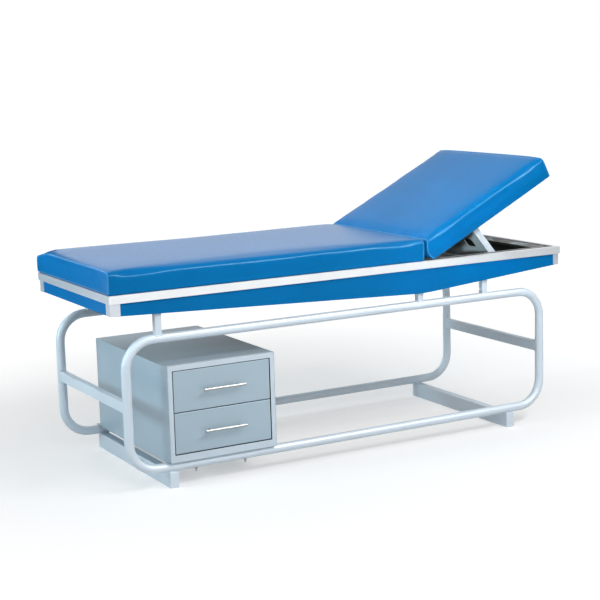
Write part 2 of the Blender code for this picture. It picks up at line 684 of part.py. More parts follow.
def make_backrest(backrest):
    """The raising part of the couch top, in the frame of its hinge axis."""
    low_z, top_z = BOARD_LOW - HINGE_Z, BOARD_TOP - HINGE_Z
    board_low = (BACK_BOARD_START, -HALF_WIDTH + BOARD_INSET, low_z)
    board_high = (BACK_LENGTH - BOARD_INSET, HALF_WIDTH - BOARD_INSET, top_z)
    piece("back_board", box_mesh(board_low, board_high), "plywood", parent=backrest)
    leaf_half = HINGE_LENGTH / 2 + KNUCKLE_RADIUS
    below = Vector((GAP, GAP, BOARD))
    pockets = [
        box_mesh(Vector(board_low) - below, Vector(board_high) + Vector((GAP, GAP, GAP))),
        box_mesh(
            (-3 * NOSE, -leaf_half, 2 * low_z),
            (BACK_BOARD_START + KNUCKLE_RADIUS, leaf_half, NOSE),
        ),
        box_mesh((0, -leaf_half, low_z), (LEAF_SHORT + RUN, leaf_half, LEAF_LOW + LEAF + GAP)),
    ]
    low = (0, -HALF_WIDTH, COVER_LOW - HINGE_Z)
    high = (BACK_LENGTH, HALF_WIDTH, COVER_LOW - HINGE_Z + BACK_THICKNESS)
    nose = lambda rise: NOSE_LEAN * rise**2 - NOSE * math.sin(math.pi * rise)
    stuffed("back_cushion", low, high, pockets, backrest, nose)


def make_prop_brackets(backrest):
    """Two brackets under the backrest's board and the pivot rod through them."""
    board = BOARD_LOW - HINGE_Z - GAP
    half = BRACKET_WIDTH / 2
    for side, sign in SIDES.items():
        cheek_outline = [(PROP_U + half, board), (PROP_U - half, board)]
        cheek_outline += arc((PROP_U, -PROP_DROP), half * 0.7, 180, 360, 10)
        hole = circle((PROP_U, -PROP_DROP), PIVOT_RADIUS + GAP)
        cheek = outline_mesh([cheek_outline, hole], BRACKET_WALL, ALONG_Y)
        cheek.transform(Matrix.Translation((0, sign * (BRACKET_Y - BRACKET_WALL / 2), 0)))
        bracket = piece(f"prop_bracket_{side}", smooth(cheek), "zinc_plate", parent=backrest)
        inner, outer = sorted((sign * (BRACKET_Y - BRACKET_FLANGE), sign * (BRACKET_Y - BRACKET_WALL / 2)))
        flange = box_mesh((PROP_U - half, inner, board - BRACKET_WALL), (PROP_U + half, outer, board))
        boolean(bracket, flange, "UNION", backrest)
    end = PROP_BAR_Y + PROP_BAR_WALL / 2 + 2 * RUN
    rod = rod_mesh((PROP_U, -end, -PROP_DROP), (PROP_U, end, -PROP_DROP), PIVOT_RADIUS)
    piece("prop_pivot_rod", rod, "stainless", parent=backrest)


def make_prop(prop):
    """The prop in its own frame: bars from the pivot along +X, a windowed plate and the foot rod."""
    bar_half = PROP_BAR / 2
    bar_outline = arc((0, 0), bar_half, 90, 270, 10) + arc((PROP_LENGTH, 0), bar_half, -90, 90, 10)
    hole = circle((0, 0), PIVOT_RADIUS + GAP)
    bars = []
    for sign in SIDES.values():
        bar = outline_mesh([bar_outline, hole], PROP_BAR_WALL, ALONG_Y)
        bar.transform(Matrix.Translation((0, sign * PROP_BAR_Y, 0)))
        bars.append(smooth(bar))
    frame = piece("prop_frame", bars[0], "silver_paint", parent=prop)
    boolean(frame, bars[1], "UNION", prop)
    foot_end = RACK_Y + RACK_WALL / 2 - RUN
    foot_rod = rod_mesh((PROP_LENGTH, -foot_end, 0), (PROP_LENGTH, foot_end, 0), PIVOT_RADIUS)
    plate = outline_mesh(
        [
            rounded_rectangle((PROP_PLATE_START, -PROP_BAR_Y), (PROP_LENGTH, PROP_BAR_Y), TUBE_CORNER),
            *(
                rounded_rectangle(
                    (WINDOW_S - WINDOW_HEIGHT / 2, sign * WINDOW_Y - WINDOW_WIDTH / 2),
                    (WINDOW_S + WINDOW_HEIGHT / 2, sign * WINDOW_Y + WINDOW_WIDTH / 2),
                    WINDOW_HEIGHT / 4,
                    4,
                )
                for sign in SIDES.values()
            ),
        ],
        PROP_PLATE,
    )
    plate.transform(Matrix.Translation((0, 0, bar_half - PROP_PLATE / 2 - GAP)))
    for mesh in (plate, foot_rod):
        boolean(frame, mesh, "UNION", prop)


def foot_rod_place(raised):
    """The foot rod's place in the bed's X and Z when the backrest is raised by that angle."""
    swing = PROP_RATIO * raised
    x = HINGE_X + PROP_U * math.cos(raised) + PROP_DROP * math.sin(raised) + PROP_LENGTH * math.cos(swing)
    z = HINGE_Z + PROP_U * math.sin(raised) - PROP_DROP * math.cos(raised) - PROP_LENGTH * math.sin(swing)
    return x, z


def make_racks():
    """Two toothed plates on the side rails, their upper edges following the foot rod's travel."""
    under = PIVOT_RADIUS + 2 * RUN
    travel = [foot_rod_place(BACK_MAX * i / TRAVEL_STEPS) for i in range(TRAVEL_STEPS + 1)]
    low_x, high_x = min(travel)[0], max(travel)[0]
    edge = []
    for i in range(RACK_EDGE_STEPS + 1):
        x = high_x + (low_x - high_x) * i / RACK_EDGE_STEPS
        near = [(place, z) for place, z in travel if abs(x - place) < under]
        edge.append((x, min(z - math.sqrt(under**2 - (x - place) ** 2) for place, z in near)))
    first, last = low_x - RACK_CLEAR, high_x + RACK_CLEAR
    outline = [(first - RACK_EAR, RACK_FLOOR), (last + RACK_EAR, RACK_FLOOR)]
    outline += [(last + RACK_EAR, RACK_EAR_TOP), (last, RACK_EAR_TOP), (last, edge[0][1])]
    outline += edge
    outline += [(first, edge[-1][1]), (first, RACK_EAR_TOP), (first - RACK_EAR, RACK_EAR_TOP)]
    turn = math.degrees(NOTCH_SLANT)
    for side, sign in SIDES.items():
        place = Matrix.Translation((0, sign * RACK_Y, 0))
        plate = outline_mesh([outline], RACK_WALL, ALONG_Y)
        plate.transform(place)
        notches = []
        for raised in NOTCH_ANGLES:
            mouth = foot_rod_place(raised)
            seat = (
                mouth[0] + NOTCH_DEPTH * math.cos(NOTCH_SLANT),
                mouth[1] - NOTCH_DEPTH * math.sin(NOTCH_SLANT),
            )
            slot = arc(mouth, under, 90 - turn, 270 - turn, 8) + arc(seat, under, 270 - turn, 450 - turn, 8)
            notch = outline_mesh([slot], RACK_WALL * 3, ALONG_Y)
            notch.transform(place)
            notches.append(notch)
        boolean(piece(f"rack_{side}", plate, "zinc_plate"), joined(notches), "DIFFERENCE")


def cabinet_plan(inset, front, back):
    """The cabinet's plan from its foot-side front edge round the back to its head-side front edge."""
    bend = 2 * math.atan2(CURVE_IN, CURVE_DEPTH)
    radius = CURVE_DEPTH / math.sin(bend)
    centre = (CABINET_FOOT + radius, CABINET_FRONT + CURVE_DEPTH)
    lean = math.degrees(math.asin((centre[1] - front) / (radius - inset)))
    points = arc(centre, radius - inset, 180 + lean, 180, 6)
    foot, head = CABINET_FOOT + inset, CABINET_HEAD - inset
    return points + [(foot, back), (head, back), (head, front)]


def make_cabinet():
    """The cabinet on the lower tubes: folded wrapper, top, bottom plate and face frame."""
    wall_low = CABINET_BASE + SHEET + GAP
    ribbon = cabinet_plan(0, CABINET_FRONT, CABINET_BACK)
    ribbon += cabinet_plan(SHEET, CABINET_FRONT, CABINET_BACK - SHEET)[::-1]
    wrapper = outline_mesh([ribbon], CABINET_TOP - wall_low)
    piece("cabinet_wrapper", wrapper, "cabinet_grey", (0, 0, (wall_low + CABINET_TOP) / 2))
    behind_frame = CABINET_FRONT + FRAME_DEPTH + GAP
    top = outline_mesh([cabinet_plan(SHEET + GAP, behind_frame, CABINET_BACK - SHEET - GAP)], SHEET)
    piece("cabinet_top", top, "cabinet_grey", (0, 0, CABINET_TOP - SHEET / 2))
    bottom = outline_mesh([cabinet_plan(0, behind_frame, LOOP_Y + LOOP_RADIUS)], SHEET)
    bottom = piece("cabinet_bottom", bottom, "cabinet_grey", (0, 0, CABINET_BASE + SHEET / 2))
    holes = [
        rod_mesh((x, y, 0), (x, y, CABINET_TOP), BOLT_RADIUS + GAP, 12) for x, y in BOLT_PLACES.values()
    ]
    boolean(bottom, joined(holes), "DIFFERENCE")
    loops = [
        rounded_rectangle((FRAME_FOOT, CABINET_BASE), (FRAME_HEAD, CABINET_TOP), SHEET),
        rounded_rectangle((WINDOW_FOOT, WINDOW_LOW), (WINDOW_HEAD, WINDOW_HIGH), SHEET),
    ]
    place = (0, CABINET_FRONT + FRAME_DEPTH / 2, 0)
    piece("cabinet_frame", outline_mesh(loops, FRAME_DEPTH, ALONG_Y), "frame_grey", place)


def bolt_mesh(x, y, head_low):
    """A cabinet bolt with its nut below the tube, turned about its own axis."""
    nut_top = LOOP_BOTTOM - LOOP_RADIUS - GAP
    nut_low = nut_top - BOLT_NUT
    profile = [
        (0, head_low + BOLT_HEAD),
        (BOLT_HEAD_RADIUS, head_low + BOLT_HEAD),
        (BOLT_HEAD_RADIUS, head_low),
        (BOLT_RADIUS, head_low),
        (BOLT_RADIUS, nut_top),
        (BOLT_HEAD_RADIUS, nut_top),
        (BOLT_HEAD_RADIUS, nut_low),
        (BOLT_RADIUS, nut_low),
        (BOLT_RADIUS, BOLT_END),
        (0, BOLT_END),
    ]
    form = bmesh.new()
    ring = [form.verts.new((radius, 0, z)) for radius, z in profile]
    edges = [form.edges.new(pair) for pair in zip(ring, ring[1:])]
    bmesh.ops.spin(
        form, geom=ring + edges, cent=(0, 0, 0), axis=(0, 0, 1), angle=math.tau, steps=12, use_merge=True
    )
    bmesh.ops.remove_doubles(form, verts=form.verts, dist=1e-6)
    bmesh.ops.recalc_face_normals(form, faces=form.faces)
    mesh = bpy.data.meshes.new("bolt")
    form.to_mesh(mesh)
    form.free()
    mesh.transform(Matrix.Translation((x, y, 0)))
    return smooth(mesh)


def make_bolts():
    """Three bolts that hold the cabinet to the lower tubes."""
    for place, (x, y) in BOLT_PLACES.items():
        piece(f"cabinet_bolt_{place}", bolt_mesh(x, y, CABINET_BASE + SHEET + GAP), "stainless")


def make_drawer(level):
    """A drawer: inset front, bar handle, open tray and the two runners under the tray."""
    low = DRAWER_LOW[level]
    slide = pivot(f"drawer_{level}_slide", ((WINDOW_FOOT + WINDOW_HEAD) / 2, CABINET_FRONT, low))
    half = (WINDOW_HEAD - WINDOW_FOOT) / 2
    front_half = half - REVEAL
    front = box_mesh((-front_half, GAP, 0), (front_half, GAP + FRONT_WALL, FRONT_HEIGHT))
    bevel(piece(f"drawer_{level}_front", front, "cabinet_grey", parent=slide), FRONT_EDGE)
    tray_half = half - TRAY_SIDE_GAP
    tray_start = GAP + FRONT_WALL + GAP
    tray_low, tray_high = TRAY_LIFT, TRAY_LIFT + TRAY_HEIGHT
    tray_end = CABINET_BACK - TRAY_BACK_GAP - CABINET_FRONT
    tray = box_mesh((-tray_half, tray_start, tray_low), (tray_half, tray_end, tray_high))
    tray = piece(f"drawer_{level}_tray", tray, "zinc_plate", parent=slide)
    hollow = box_mesh(
        (-tray_half + SHEET, tray_start + SHEET, tray_low + SHEET),
        (tray_half - SHEET, tray_end - SHEET, tray_high + SHEET),
    )
    boolean(tray, hollow, "DIFFERENCE", slide)
    make_handle(level, slide)
    make_runners(level, low + tray_low)


def make_handle(level, slide):
    """A straight bar on two posts."""
    bar_y = -HANDLE_REACH
    bar = rod_mesh(
        (-HANDLE_LENGTH / 2, bar_y, HANDLE_RISE), (HANDLE_LENGTH / 2, bar_y, HANDLE_RISE), HANDLE_RADIUS, 16
    )
    handle = piece(f"drawer_{level}_handle", bar, "stainless", parent=slide)
    for x in (-HANDLE_POSTS / 2, HANDLE_POSTS / 2):
        post = rod_mesh((x, bar_y, HANDLE_RISE), (x, 0, HANDLE_RISE), HANDLE_POST_RADIUS, 12)
        boolean(handle, post, "UNION", slide)


def make_runners(level, tray_floor):
    """An angle runner on each cabinet wall, its lip under the tray."""
    lip_top = tray_floor - RUN
    start, end = CABINET_FRONT + RUNNER_START, CABINET_BACK - RUNNER_BACK_GAP
    tray_foot, tray_head = WINDOW_FOOT + TRAY_SIDE_GAP, WINDOW_HEAD - TRAY_SIDE_GAP
    walls = {
        "foot": (CABINET_FOOT + SHEET + GAP, tray_foot + RUNNER_LIP_UNDER, 1),
        "head": (CABINET_HEAD - SHEET - GAP, tray_head - RUNNER_LIP_UNDER, -1),
    }
    for side, (wall, lip_end, inward) in walls.items():
        profile = [
            (wall, lip_top - SHEET),
            (lip_end, lip_top - SHEET),
            (lip_end, lip_top),
            (wall + inward * SHEET, lip_top),
            (wall + inward * SHEET, lip_top + RUNNER_LEG),
            (wall, lip_top + RUNNER_LEG),
        ]
        mesh = outline_mesh([profile], end - start, ALONG_Y)
        piece(f"drawer_{level}_runner_{side}", mesh, "zinc_plate", (0, (start + end) / 2, 0))


def make_table():
    """All sub-parts, the moving ones under an empty on their joint's axis."""
    make_stand()
    make_bed_frame()
    make_skirts()
    make_bed_floor()
    make_trim()
    make_seat()
    backrest = pivot("backrest_axis", (HINGE_X, 0, HINGE_Z), BACK_ANGLE)
    make_hinge(backrest)
    make_backrest(backrest)
    make_prop_brackets(backrest)
    make_prop(pivot("prop_axis", (PROP_U, 0, -PROP_DROP), -(BACK_ANGLE + PROP_ANGLE), backrest))
    make_racks()
    make_cabinet()
    make_bolts()
    for level in DRAWER_LOW:
        make_drawer(level)


make_table()
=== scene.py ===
"""Dresses the examination table: vinyl upholstery, painted tube, steel cabinet, and a pale studio."""

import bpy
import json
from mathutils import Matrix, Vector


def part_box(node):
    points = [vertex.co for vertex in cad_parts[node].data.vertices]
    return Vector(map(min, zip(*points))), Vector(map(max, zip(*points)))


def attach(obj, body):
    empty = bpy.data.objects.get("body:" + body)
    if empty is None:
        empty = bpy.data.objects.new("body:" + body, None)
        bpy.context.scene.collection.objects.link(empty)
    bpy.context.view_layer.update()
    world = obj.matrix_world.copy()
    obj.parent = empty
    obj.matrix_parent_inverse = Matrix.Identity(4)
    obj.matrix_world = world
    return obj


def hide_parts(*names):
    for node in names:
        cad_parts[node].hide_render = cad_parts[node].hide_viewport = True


bl_info = {
    "name": "Examination Table Dressing",
    "version": (1, 0, 0),
    "blender": (4, 5, 0),
    "location": "View3D > Sidebar > Couch",
    "description": "Upholstery, finishes and studio for the examination table",
    "category": "Object",
}

import json
import math
from typing import NamedTuple

import bmesh
import bpy
from bpy.props import FloatProperty, FloatVectorProperty, IntProperty, PointerProperty
from mathutils import Matrix, Vector, noise

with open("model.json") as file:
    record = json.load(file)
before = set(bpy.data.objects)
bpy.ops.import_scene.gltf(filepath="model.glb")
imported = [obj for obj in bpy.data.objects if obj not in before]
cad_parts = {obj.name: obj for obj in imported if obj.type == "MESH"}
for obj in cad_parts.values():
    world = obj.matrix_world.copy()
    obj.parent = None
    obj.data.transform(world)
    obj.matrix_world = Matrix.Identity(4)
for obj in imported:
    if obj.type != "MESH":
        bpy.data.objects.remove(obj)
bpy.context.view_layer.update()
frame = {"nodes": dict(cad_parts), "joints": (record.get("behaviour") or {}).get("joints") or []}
NODES = frame["nodes"]
HINGE = next(joint for joint in frame["joints"] if joint["name"] == "backrest_hinge")
SIDES = ("near", "far")
ENDS = ("foot", "head")
LEVELS = ("lower", "upper")
FACING = 0.5            # a face whose normal has more of an axis than this faces along it

# Covers: how the form varies from a box
EDGE_LINES = (0.0015, 0.004, 0.008, 0.0125, 0.018)   # distances of the closest cell lines from an edge
SLACK_DEPTH = 0.09      # from the end seams to the slackest roll
SLACK_REACH = 0.08
ROLL_EASE = 0.05        # over which the roll opens from the seams
ROLL_DRIFT = 0.2        # share by which the roll varies along an edge
ROLL_DRIFT_SCALE = 7.0  # noise scales are per metre
ROLL_SEED = 1.0         # seeds tell the noises apart
END_POWER = 40          # how closely the swell of the ends keeps to them
SIDE_POWER = 24
CORNER_PINCH = 1.8      # share of the swell that the corners take back; above 1 they pull in
CROWN_RISE_POWER = 4    # how closely the crown keeps to the top
CROWN_END_POWER = 10    # how late it falls towards the ends and sides
CROWN_SIDE_POWER = 8
CROWN_END_FALL = 0.2    # share by which it falls at a sewn end; at the nose it falls to nothing
SLUMP_LENGTH = 0.035
SLUMP_WIDTH = 0.07

# Covers: gathers along the seams and base, and waves along the rolled edges
GATHER_ALONG = 5
GATHER_ACROSS = 40
GATHER_REACH = 0.035
TUG_ALONG = 26
TUG_ACROSS = 6
TUG_SEED = 3.0
TUG_REACH = 0.02
TUG_SHARE = 0.7         # of the base's gathers against the seams'
WAVE_SCALE = 6.5
WAVE_SEED = 7.0
WAVE_SIDE_SEED = 2.0    # positive on the far edge and negative on the near one
WAVE_REACH = 0.035
WAVE_START = 0.35       # share of the height at which the waves begin

# Covers: seams, holds and pockets
SEAM_INSET = 0.3        # of the piping from the ends, in end-edge radii
SEAM_RISE_STEPS = 40
SEAM_HALF_STEPS = 120   # along half of the top
SEAM_HOLD = 1.5         # how far the seams hold the cover, in end-edge radii
HEM_HOLD = 2            # how far the base holds it, in hem radii
LEAST_MOVE = 1e-9       # of a vertex, to count as moved
POCKET_CLEAR = 0.0005   # round the board and the hinge
POCKET_OPEN = 0.02      # how far the pockets reach out of the cover
LEAF_ROOM = 0.003       # over the hinge's leaf on the seat
NOSE_POCKET = (-0.05, 0.0125)   # along the backrest, from the hinge's axis
CREASE = math.radians(50)       # sharper edges stay sharp

# Welds and folded edges
WELD = 0.0022           # bead radius
WELD_DRIFT = 0.4        # share by which a bead's radius varies
WELD_DRIFT_SCALE = 260.0
BEAM_WELD_HALF = 0.0075    # half of a bead's reach along a base beam
BEAM_WELD_INSET = 0.002    # from the beam's long edges
BEAM_WELD_RISE = 0.0008
FOLD = 0.013            # height of the trim's folded inner edge
FOLD_WALL = 0.00025
FRAME_MARGIN = 0.004    # from the face frame's outline to its window, at least


class StudioPanel(NamedTuple):
    """Place and size of a lamp or flag, the point that it faces, and how wide it throws light in degrees."""

    place: tuple
    aim: tuple
    size: tuple
    spread: float = 180.0

    def turn(self):
        return (Vector(self.aim) - Vector(self.place)).to_track_quat("-Z", "Y").to_euler()


KEY_LAMP = StudioPanel((-1.2, -4.7, 2.9), (-0.2, 0.0, 0.5), (3.0, 2.0))
FILL_LAMP = StudioPanel((-2.2, -2.7, 0.95), (0.62, -0.20, 0.77), (0.3, 0.2), 11.0)
STRIP_LAMP = StudioPanel((1.0, -2.3, 2.7), (-0.35, -0.35, 0.76), (2.2, 0.10))
FOOT_LAMP = StudioPanel((-3.6, 0.2, 1.9), (-0.2, 0.0, 0.85), (2.0, 1.4), 40.0)
RIM_LAMP = StudioPanel((-1.8, 3.2, 2.6), (-0.6, 0.0, 0.7), (1.4, 1.0))
FOOT_FLAG = StudioPanel((-0.97, 2.63, 0.85), (-0.49, 1.77, 0.85), (2.4, 1.7))
HEAD_FLAG = StudioPanel((2.5, -1.95, 0.60), (0.8, -0.37, 0.60), (1.6, 1.2))
FLOOR_SIZE = 60.0


def colour_property(name, description, value):
    return FloatVectorProperty(
        name=name, description=description, subtype="COLOR", size=3, min=0, max=1, default=value
    )


def length_property(name, description, value):
    return FloatProperty(
        name=name,
        description=description,
        subtype="DISTANCE",
        unit="LENGTH",
        min=0,
        precision=4,
        default=value,
    )


def angle_property(name, description, degrees):
    return FloatProperty(
        name=name, description=description, subtype="ANGLE", default=math.radians(degrees)
    )


def power_property(name, description, value):
    return FloatProperty(name=name, description=description, subtype="POWER", default=value)


class CouchUpholstery(bpy.types.PropertyGroup):
    """Shape of the two cushions' covers"""

    cell: length_property("Cell", "Grid size of the covers", 0.012)
    roll: length_property("Roll", "Reach of the seat's rolled long edges", 0.017)
    back_roll: length_property("Back roll", "Reach of the backrest's rolled long edges", 0.015)
    facet: FloatProperty(
        name="Facet",
        description="Roundness of those edges: 2 is a circle, less is flatter",
        default=1.6,
        min=1,
    )
    corner: length_property("Corner", "Reach of those edges at the end seams", 0.010)
    slack: FloatProperty(
        name="Slack", description="Extra roundness just inside the end seams", default=0.3, min=0
    )
    slump: length_property("Slump", "Sag of the seat's far corner at the foot", 0.015)
    hem: length_property("Hem", "Radius of the edges at the base", 0.005)
    end_edge: length_property("End edge", "Radius of the edges round the end panels", 0.007)
    crown: length_property("Crown", "Rise of the top's middle", 0.008)
    proud: length_property("Proud", "Rise of the top's middle over the foam block", 0.005)
    swell: length_property("Swell", "Bulge of the sides at half height", 0.0026)
    draw: length_property("Draw", "How far the sides pull in between the corners", 0.002)
    nose: length_property("Nose", "Bulge of the backrest over the hinge", 0.016)
    nose_lean: length_property("Nose lean", "Set-back of the nose's upper edge", 0.009)
    nose_reach: length_property("Nose reach", "Length of backrest that the nose takes up", 0.050)
    puff: length_property("Puff", "Largest move of the cover under the foam's pressure", 0.0025)
    pucker: length_property("Pucker", "Depth of the gathers along the seams", 0.0009)
    wave: length_property("Wave", "Unevenness of the rolled edges", 0.0020)
    welt: length_property("Welt", "Radius of the seams' piping", 0.0027)
    frames: IntProperty(name="Frames", description="Steps of the cover's simulation", default=14, min=1)
    angle: angle_property("Backrest angle", "Rise of the backrest at rest", 26.7)


class CouchFinishes(bpy.types.PropertyGroup):
    """Colours of the finishes"""

    vinyl: colour_property("Vinyl", "Upholstery and skirts", (0.001, 0.167, 0.448))
    # Piping: a lighter blue than the vinyl, a painted highlight along the seams' piping
    piping: colour_property("Piping", "Stretched vinyl over the seams' cord", (0.04, 0.27, 0.58))
    tube: colour_property("Tube paint", "Stand and the bars of the prop", (0.68, 0.77, 0.85))
    # Plate paint: lighter than the tube paint, painted light on the prop's plate, which lies in the
    # backrest's shade
    plate: colour_property("Plate paint", "Plate of the backrest's prop", (0.88, 0.94, 0.98))
    cabinet: colour_property("Cabinet paint", "Cabinet and drawer fronts", (0.39, 0.503, 0.583))
    face: colour_property("Face paint", "Face frame of the cabinet", (0.59, 0.69, 0.77))
    aluminium: colour_property("Aluminium", "Long trim of the bed", (0.83, 0.85, 0.87))
    # Angle: the same aluminium as the long trim, darkened as painted shade for the end trims' and corner
    # angles' darker reflections
    angle: colour_property("Angle", "End trim and corner angles of the bed box", (0.66, 0.70, 0.76))
    stainless: colour_property("Stainless", "Handles, hinge pin, pivot rod and bolts", (0.35, 0.355, 0.345))
    zinc: colour_property("Zinc", "Plated hinge, racks, brackets, trays and runners", (0.60, 0.62, 0.64))
    wood: colour_property("Plywood", "Boards under the cushions", (0.50, 0.36, 0.21))
    # Near black: the bed box's inside, and painted shade for the gaps round the cabinet's drawers
    primer: colour_property("Primer", "Bed box's inside and drawer fronts' edges", (0.016, 0.020, 0.021))


class CouchStudio(bpy.types.PropertyGroup):
    """Camera and light"""

    eye: FloatVectorProperty(
        name="Eye",
        description="Camera position",
        subtype="XYZ",
        unit="LENGTH",
        default=(-2.7198, -4.8719, 1.4855),
    )
    azimuth: angle_property("Azimuth", "Camera's turn", -28.898)
    elevation: angle_property("Elevation", "Camera's downward tilt", 9.610)
    roll: angle_property("Roll", "Camera's roll", -1.645)
    lens: FloatProperty(
        name="Lens", description="Focal length", subtype="DISTANCE_CAMERA", default=88.15
    )
    floor: colour_property("Floor", "Floor's colour", (0.64, 0.64, 0.64))
    flag: colour_property("Flag", "Dark panels that only reflections show", (0.05, 0.11, 0.18))
    cool: colour_property("Cool", "Light of the foot-end and head-bay lamps", (0.70, 0.92, 1.0))
    key: power_property("Key", "Power of the key lamp", 62.0)
    fill: power_property("Fill", "Power of the lamp on the head bay", 0.31)
    strip: power_property("Strip", "Power of the narrow lamp", 50.0)
    glint: power_property("Glint", "Power that the narrow lamp adds to gloss alone", 90.0)
    side: power_property("Side", "Power of the foot-end lamp", 9.5)
    rim: power_property("Rim", "Power of the lamp behind", 17.0)
    sky: FloatProperty(name="Sky", description="Strength of the surrounding light", default=0.31, min=0)


def settings(context):
    scene = context.scene
    return scene.couch_upholstery, scene.couch_finishes, scene.couch_studio


# Materials


class Surface:
    """A Principled material under construction, with short calls for its nodes."""

    def __init__(self, name, **sockets):
        self.material = bpy.data.materials.new(name)
        self.material.use_nodes = True
        self.tree = self.material.node_tree
        self.shader = self.tree.nodes["Principled BSDF"]
        self.feed(self.shader, sockets)
        self.place = self.tree.nodes.new("ShaderNodeTexCoord").outputs["Object"]

    def feed(self, node, sockets):
        for name, value in sockets.items():
            socket = node.inputs[name.replace("_", " ") if isinstance(name, str) else name]
            if isinstance(value, bpy.types.NodeSocket):
                self.tree.links.new(value, socket)
            else:
                socket.default_value = value

    def add(self, kind, output, sockets=None, **options):
        node = self.tree.nodes.new(f"ShaderNode{kind}")
        for name, value in options.items():
            setattr(node, name, value)
        self.feed(node, sockets or {})
        return node.outputs[output]

    def stretched(self, scale):
        return self.add("Mapping", "Vector", {"Vector": self.place, "Scale": scale})

    def noise(self, scale, detail=3.0, where=None, roughness=0.5):
        sockets = {"Vector": where or self.place, "Scale": scale, "Detail": detail, "Roughness": roughness}
        return self.add("TexNoise", "Fac", sockets)

    def between(self, amount, low, high):
        """Maps 0..1 to a range of values."""
        return self.add("MapRange", "Result", {"Value": amount, "To_Min": low, "To_Max": high})

    def tints(self, amount, colour, dark, light, spread=(0.25, 0.75)):
        """A colour that varies between a darker and a lighter shade of itself."""
        ramp = self.tree.nodes.new("ShaderNodeValToRGB")
        for element, place, factor in zip(ramp.color_ramp.elements, spread, (dark, light)):
            element.position = place
            element.color = (*(min(1.0, c * factor) for c in colour), 1.0)
        self.feed(ramp, {"Fac": amount})
        return ramp.outputs["Color"]

    def bump(self, height, strength, distance, under=None):
        sockets = {"Height": height, "Strength": strength, "Distance": distance}
        if under:
            sockets["Normal"] = under
        return self.add("Bump", "Normal", sockets)

    def finish(self, **sockets):
        self.feed(self.shader, sockets)
        return self.material


def vinyl_material(name, colour):
    """Coated upholstery cloth: pressed grain, faint tone drift and an uneven soft gloss."""
    surface = Surface(name, IOR=1.2, Specular_Tint=(0.5, 0.9, 1.0, 1.0))
    cells = {"Vector": surface.place, "Scale": 520.0, "Randomness": 0.9}
    grain = surface.add("TexVoronoi", "Distance", cells, feature="F1")
    pores = surface.noise(scale=1400.0, detail=2.0)
    pull = surface.noise(scale=9.0)
    normal = surface.bump(pull, strength=0.10, distance=0.006)
    normal = surface.bump(grain, strength=0.07, distance=0.0004, under=normal)
    normal = surface.bump(pores, strength=0.04, distance=0.0002, under=normal)
    tone = surface.noise(scale=5.0, detail=4.0)
    gloss = surface.noise(scale=38.0)
    return surface.finish(
        Base_Color=surface.tints(tone, colour, dark=0.93, light=1.06),
        Roughness=surface.between(gloss, low=0.19, high=0.27),
        Normal=normal,
    )


def paint_material(name, colour, metallic, roughness, speck=0.04):
    """Stoved paint: orange-peel skin, faint tone drift and small specks of wear."""
    surface = Surface(name, Metallic=metallic, Coat_Weight=0.08, Coat_Roughness=0.4)
    peel = surface.noise(scale=330.0, detail=2.0)
    drift = surface.noise(scale=4.0, detail=4.0)
    wear = surface.noise(scale=70.0, detail=6.0, roughness=0.7)
    return surface.finish(
        Base_Color=surface.tints(drift, colour, dark=1.0 - speck, light=1.0 + speck),
        Roughness=surface.between(wear, low=roughness - 0.05, high=roughness + 0.07),
        Normal=surface.bump(peel, strength=0.05, distance=0.0006),
    )


def brushed_material(name, colour, along, roughness, metallic=1.0):
    """Bare metal with a brushed grain that runs along one axis; less metallic where it is anodised."""
    surface = Surface(name, Metallic=metallic)
    fine, coarse = 420.0, 3.0
    stretched = surface.stretched(tuple(coarse if axis == along else fine for axis in range(3)))
    grain = surface.noise(scale=1.0, detail=4.0, where=stretched)
    clouds = surface.noise(scale=6.0)
    return surface.finish(
        Base_Color=surface.tints(clouds, colour, dark=0.95, light=1.04),
        Roughness=surface.between(grain, low=roughness - 0.07, high=roughness + 0.10),
        Normal=surface.bump(grain, strength=0.05, distance=0.0003),
    )


def zinc_material(name, colour):
    """Zinc plate: a patchwork of dull and bright crystals."""
    surface = Surface(name, Metallic=1.0)
    crystals = surface.add("TexVoronoi", "Color", {"Vector": surface.place, "Scale": 95.0})
    patches = surface.noise(scale=14.0, detail=4.0)
    return surface.finish(
        Base_Color=surface.tints(patches, colour, dark=0.88, light=1.08),
        Roughness=surface.between(crystals, low=0.32, high=0.52),
        Normal=surface.bump(patches, strength=0.04, distance=0.0008),
    )


def plywood_material(name, colour):
    """Sanded plywood: long grain lines and broad bands."""
    surface = Surface(name)
    lines, broad = surface.stretched((9.0, 160.0, 160.0)), surface.stretched((2.0, 22.0, 22.0))
    grain = surface.noise(scale=1.0, detail=6.0, where=lines, roughness=0.6)
    bands = surface.noise(scale=1.0, detail=2.0, where=broad)
    mixed = surface.add("Math", "Value", {0: grain, 1: bands}, operation="MULTIPLY")
    return surface.finish(
        Base_Color=surface.tints(mixed, colour, dark=0.62, light=1.15, spread=(0.12, 0.45)),
        Roughness=surface.between(grain, low=0.60, high=0.85),
        Normal=surface.bump(grain, strength=0.15, distance=0.0006),
    )


def material_of(name, make, colour, **options):
    """The material of that name, made at its first use."""
    return bpy.data.materials.get(name) or make(name, colour, **options)


def blue_vinyl(finishes):
    return material_of("upholstery_vinyl", vinyl_material, finishes.vinyl)


# The piping's lighter colour is a painted highlight along the seams.
def piping_vinyl(finishes):
    return material_of("piping_vinyl", vinyl_material, finishes.piping)


def painted(name, colour, metallic, roughness, **options):
    return material_of(name, paint_material, colour, metallic=metallic, roughness=roughness, **options)


# Near black: the bed box's inside, and painted shade in the gaps of the cabinet's face frame and round the
# drawer fronts.
def near_black_and_shade_paint(finishes):
    return painted("dark_primer_coat", finishes.primer, metallic=0.0, roughness=0.62, speck=0.12)


def tube_paint(finishes):
    return painted("tube_paint", finishes.tube, metallic=0.15, roughness=0.50)


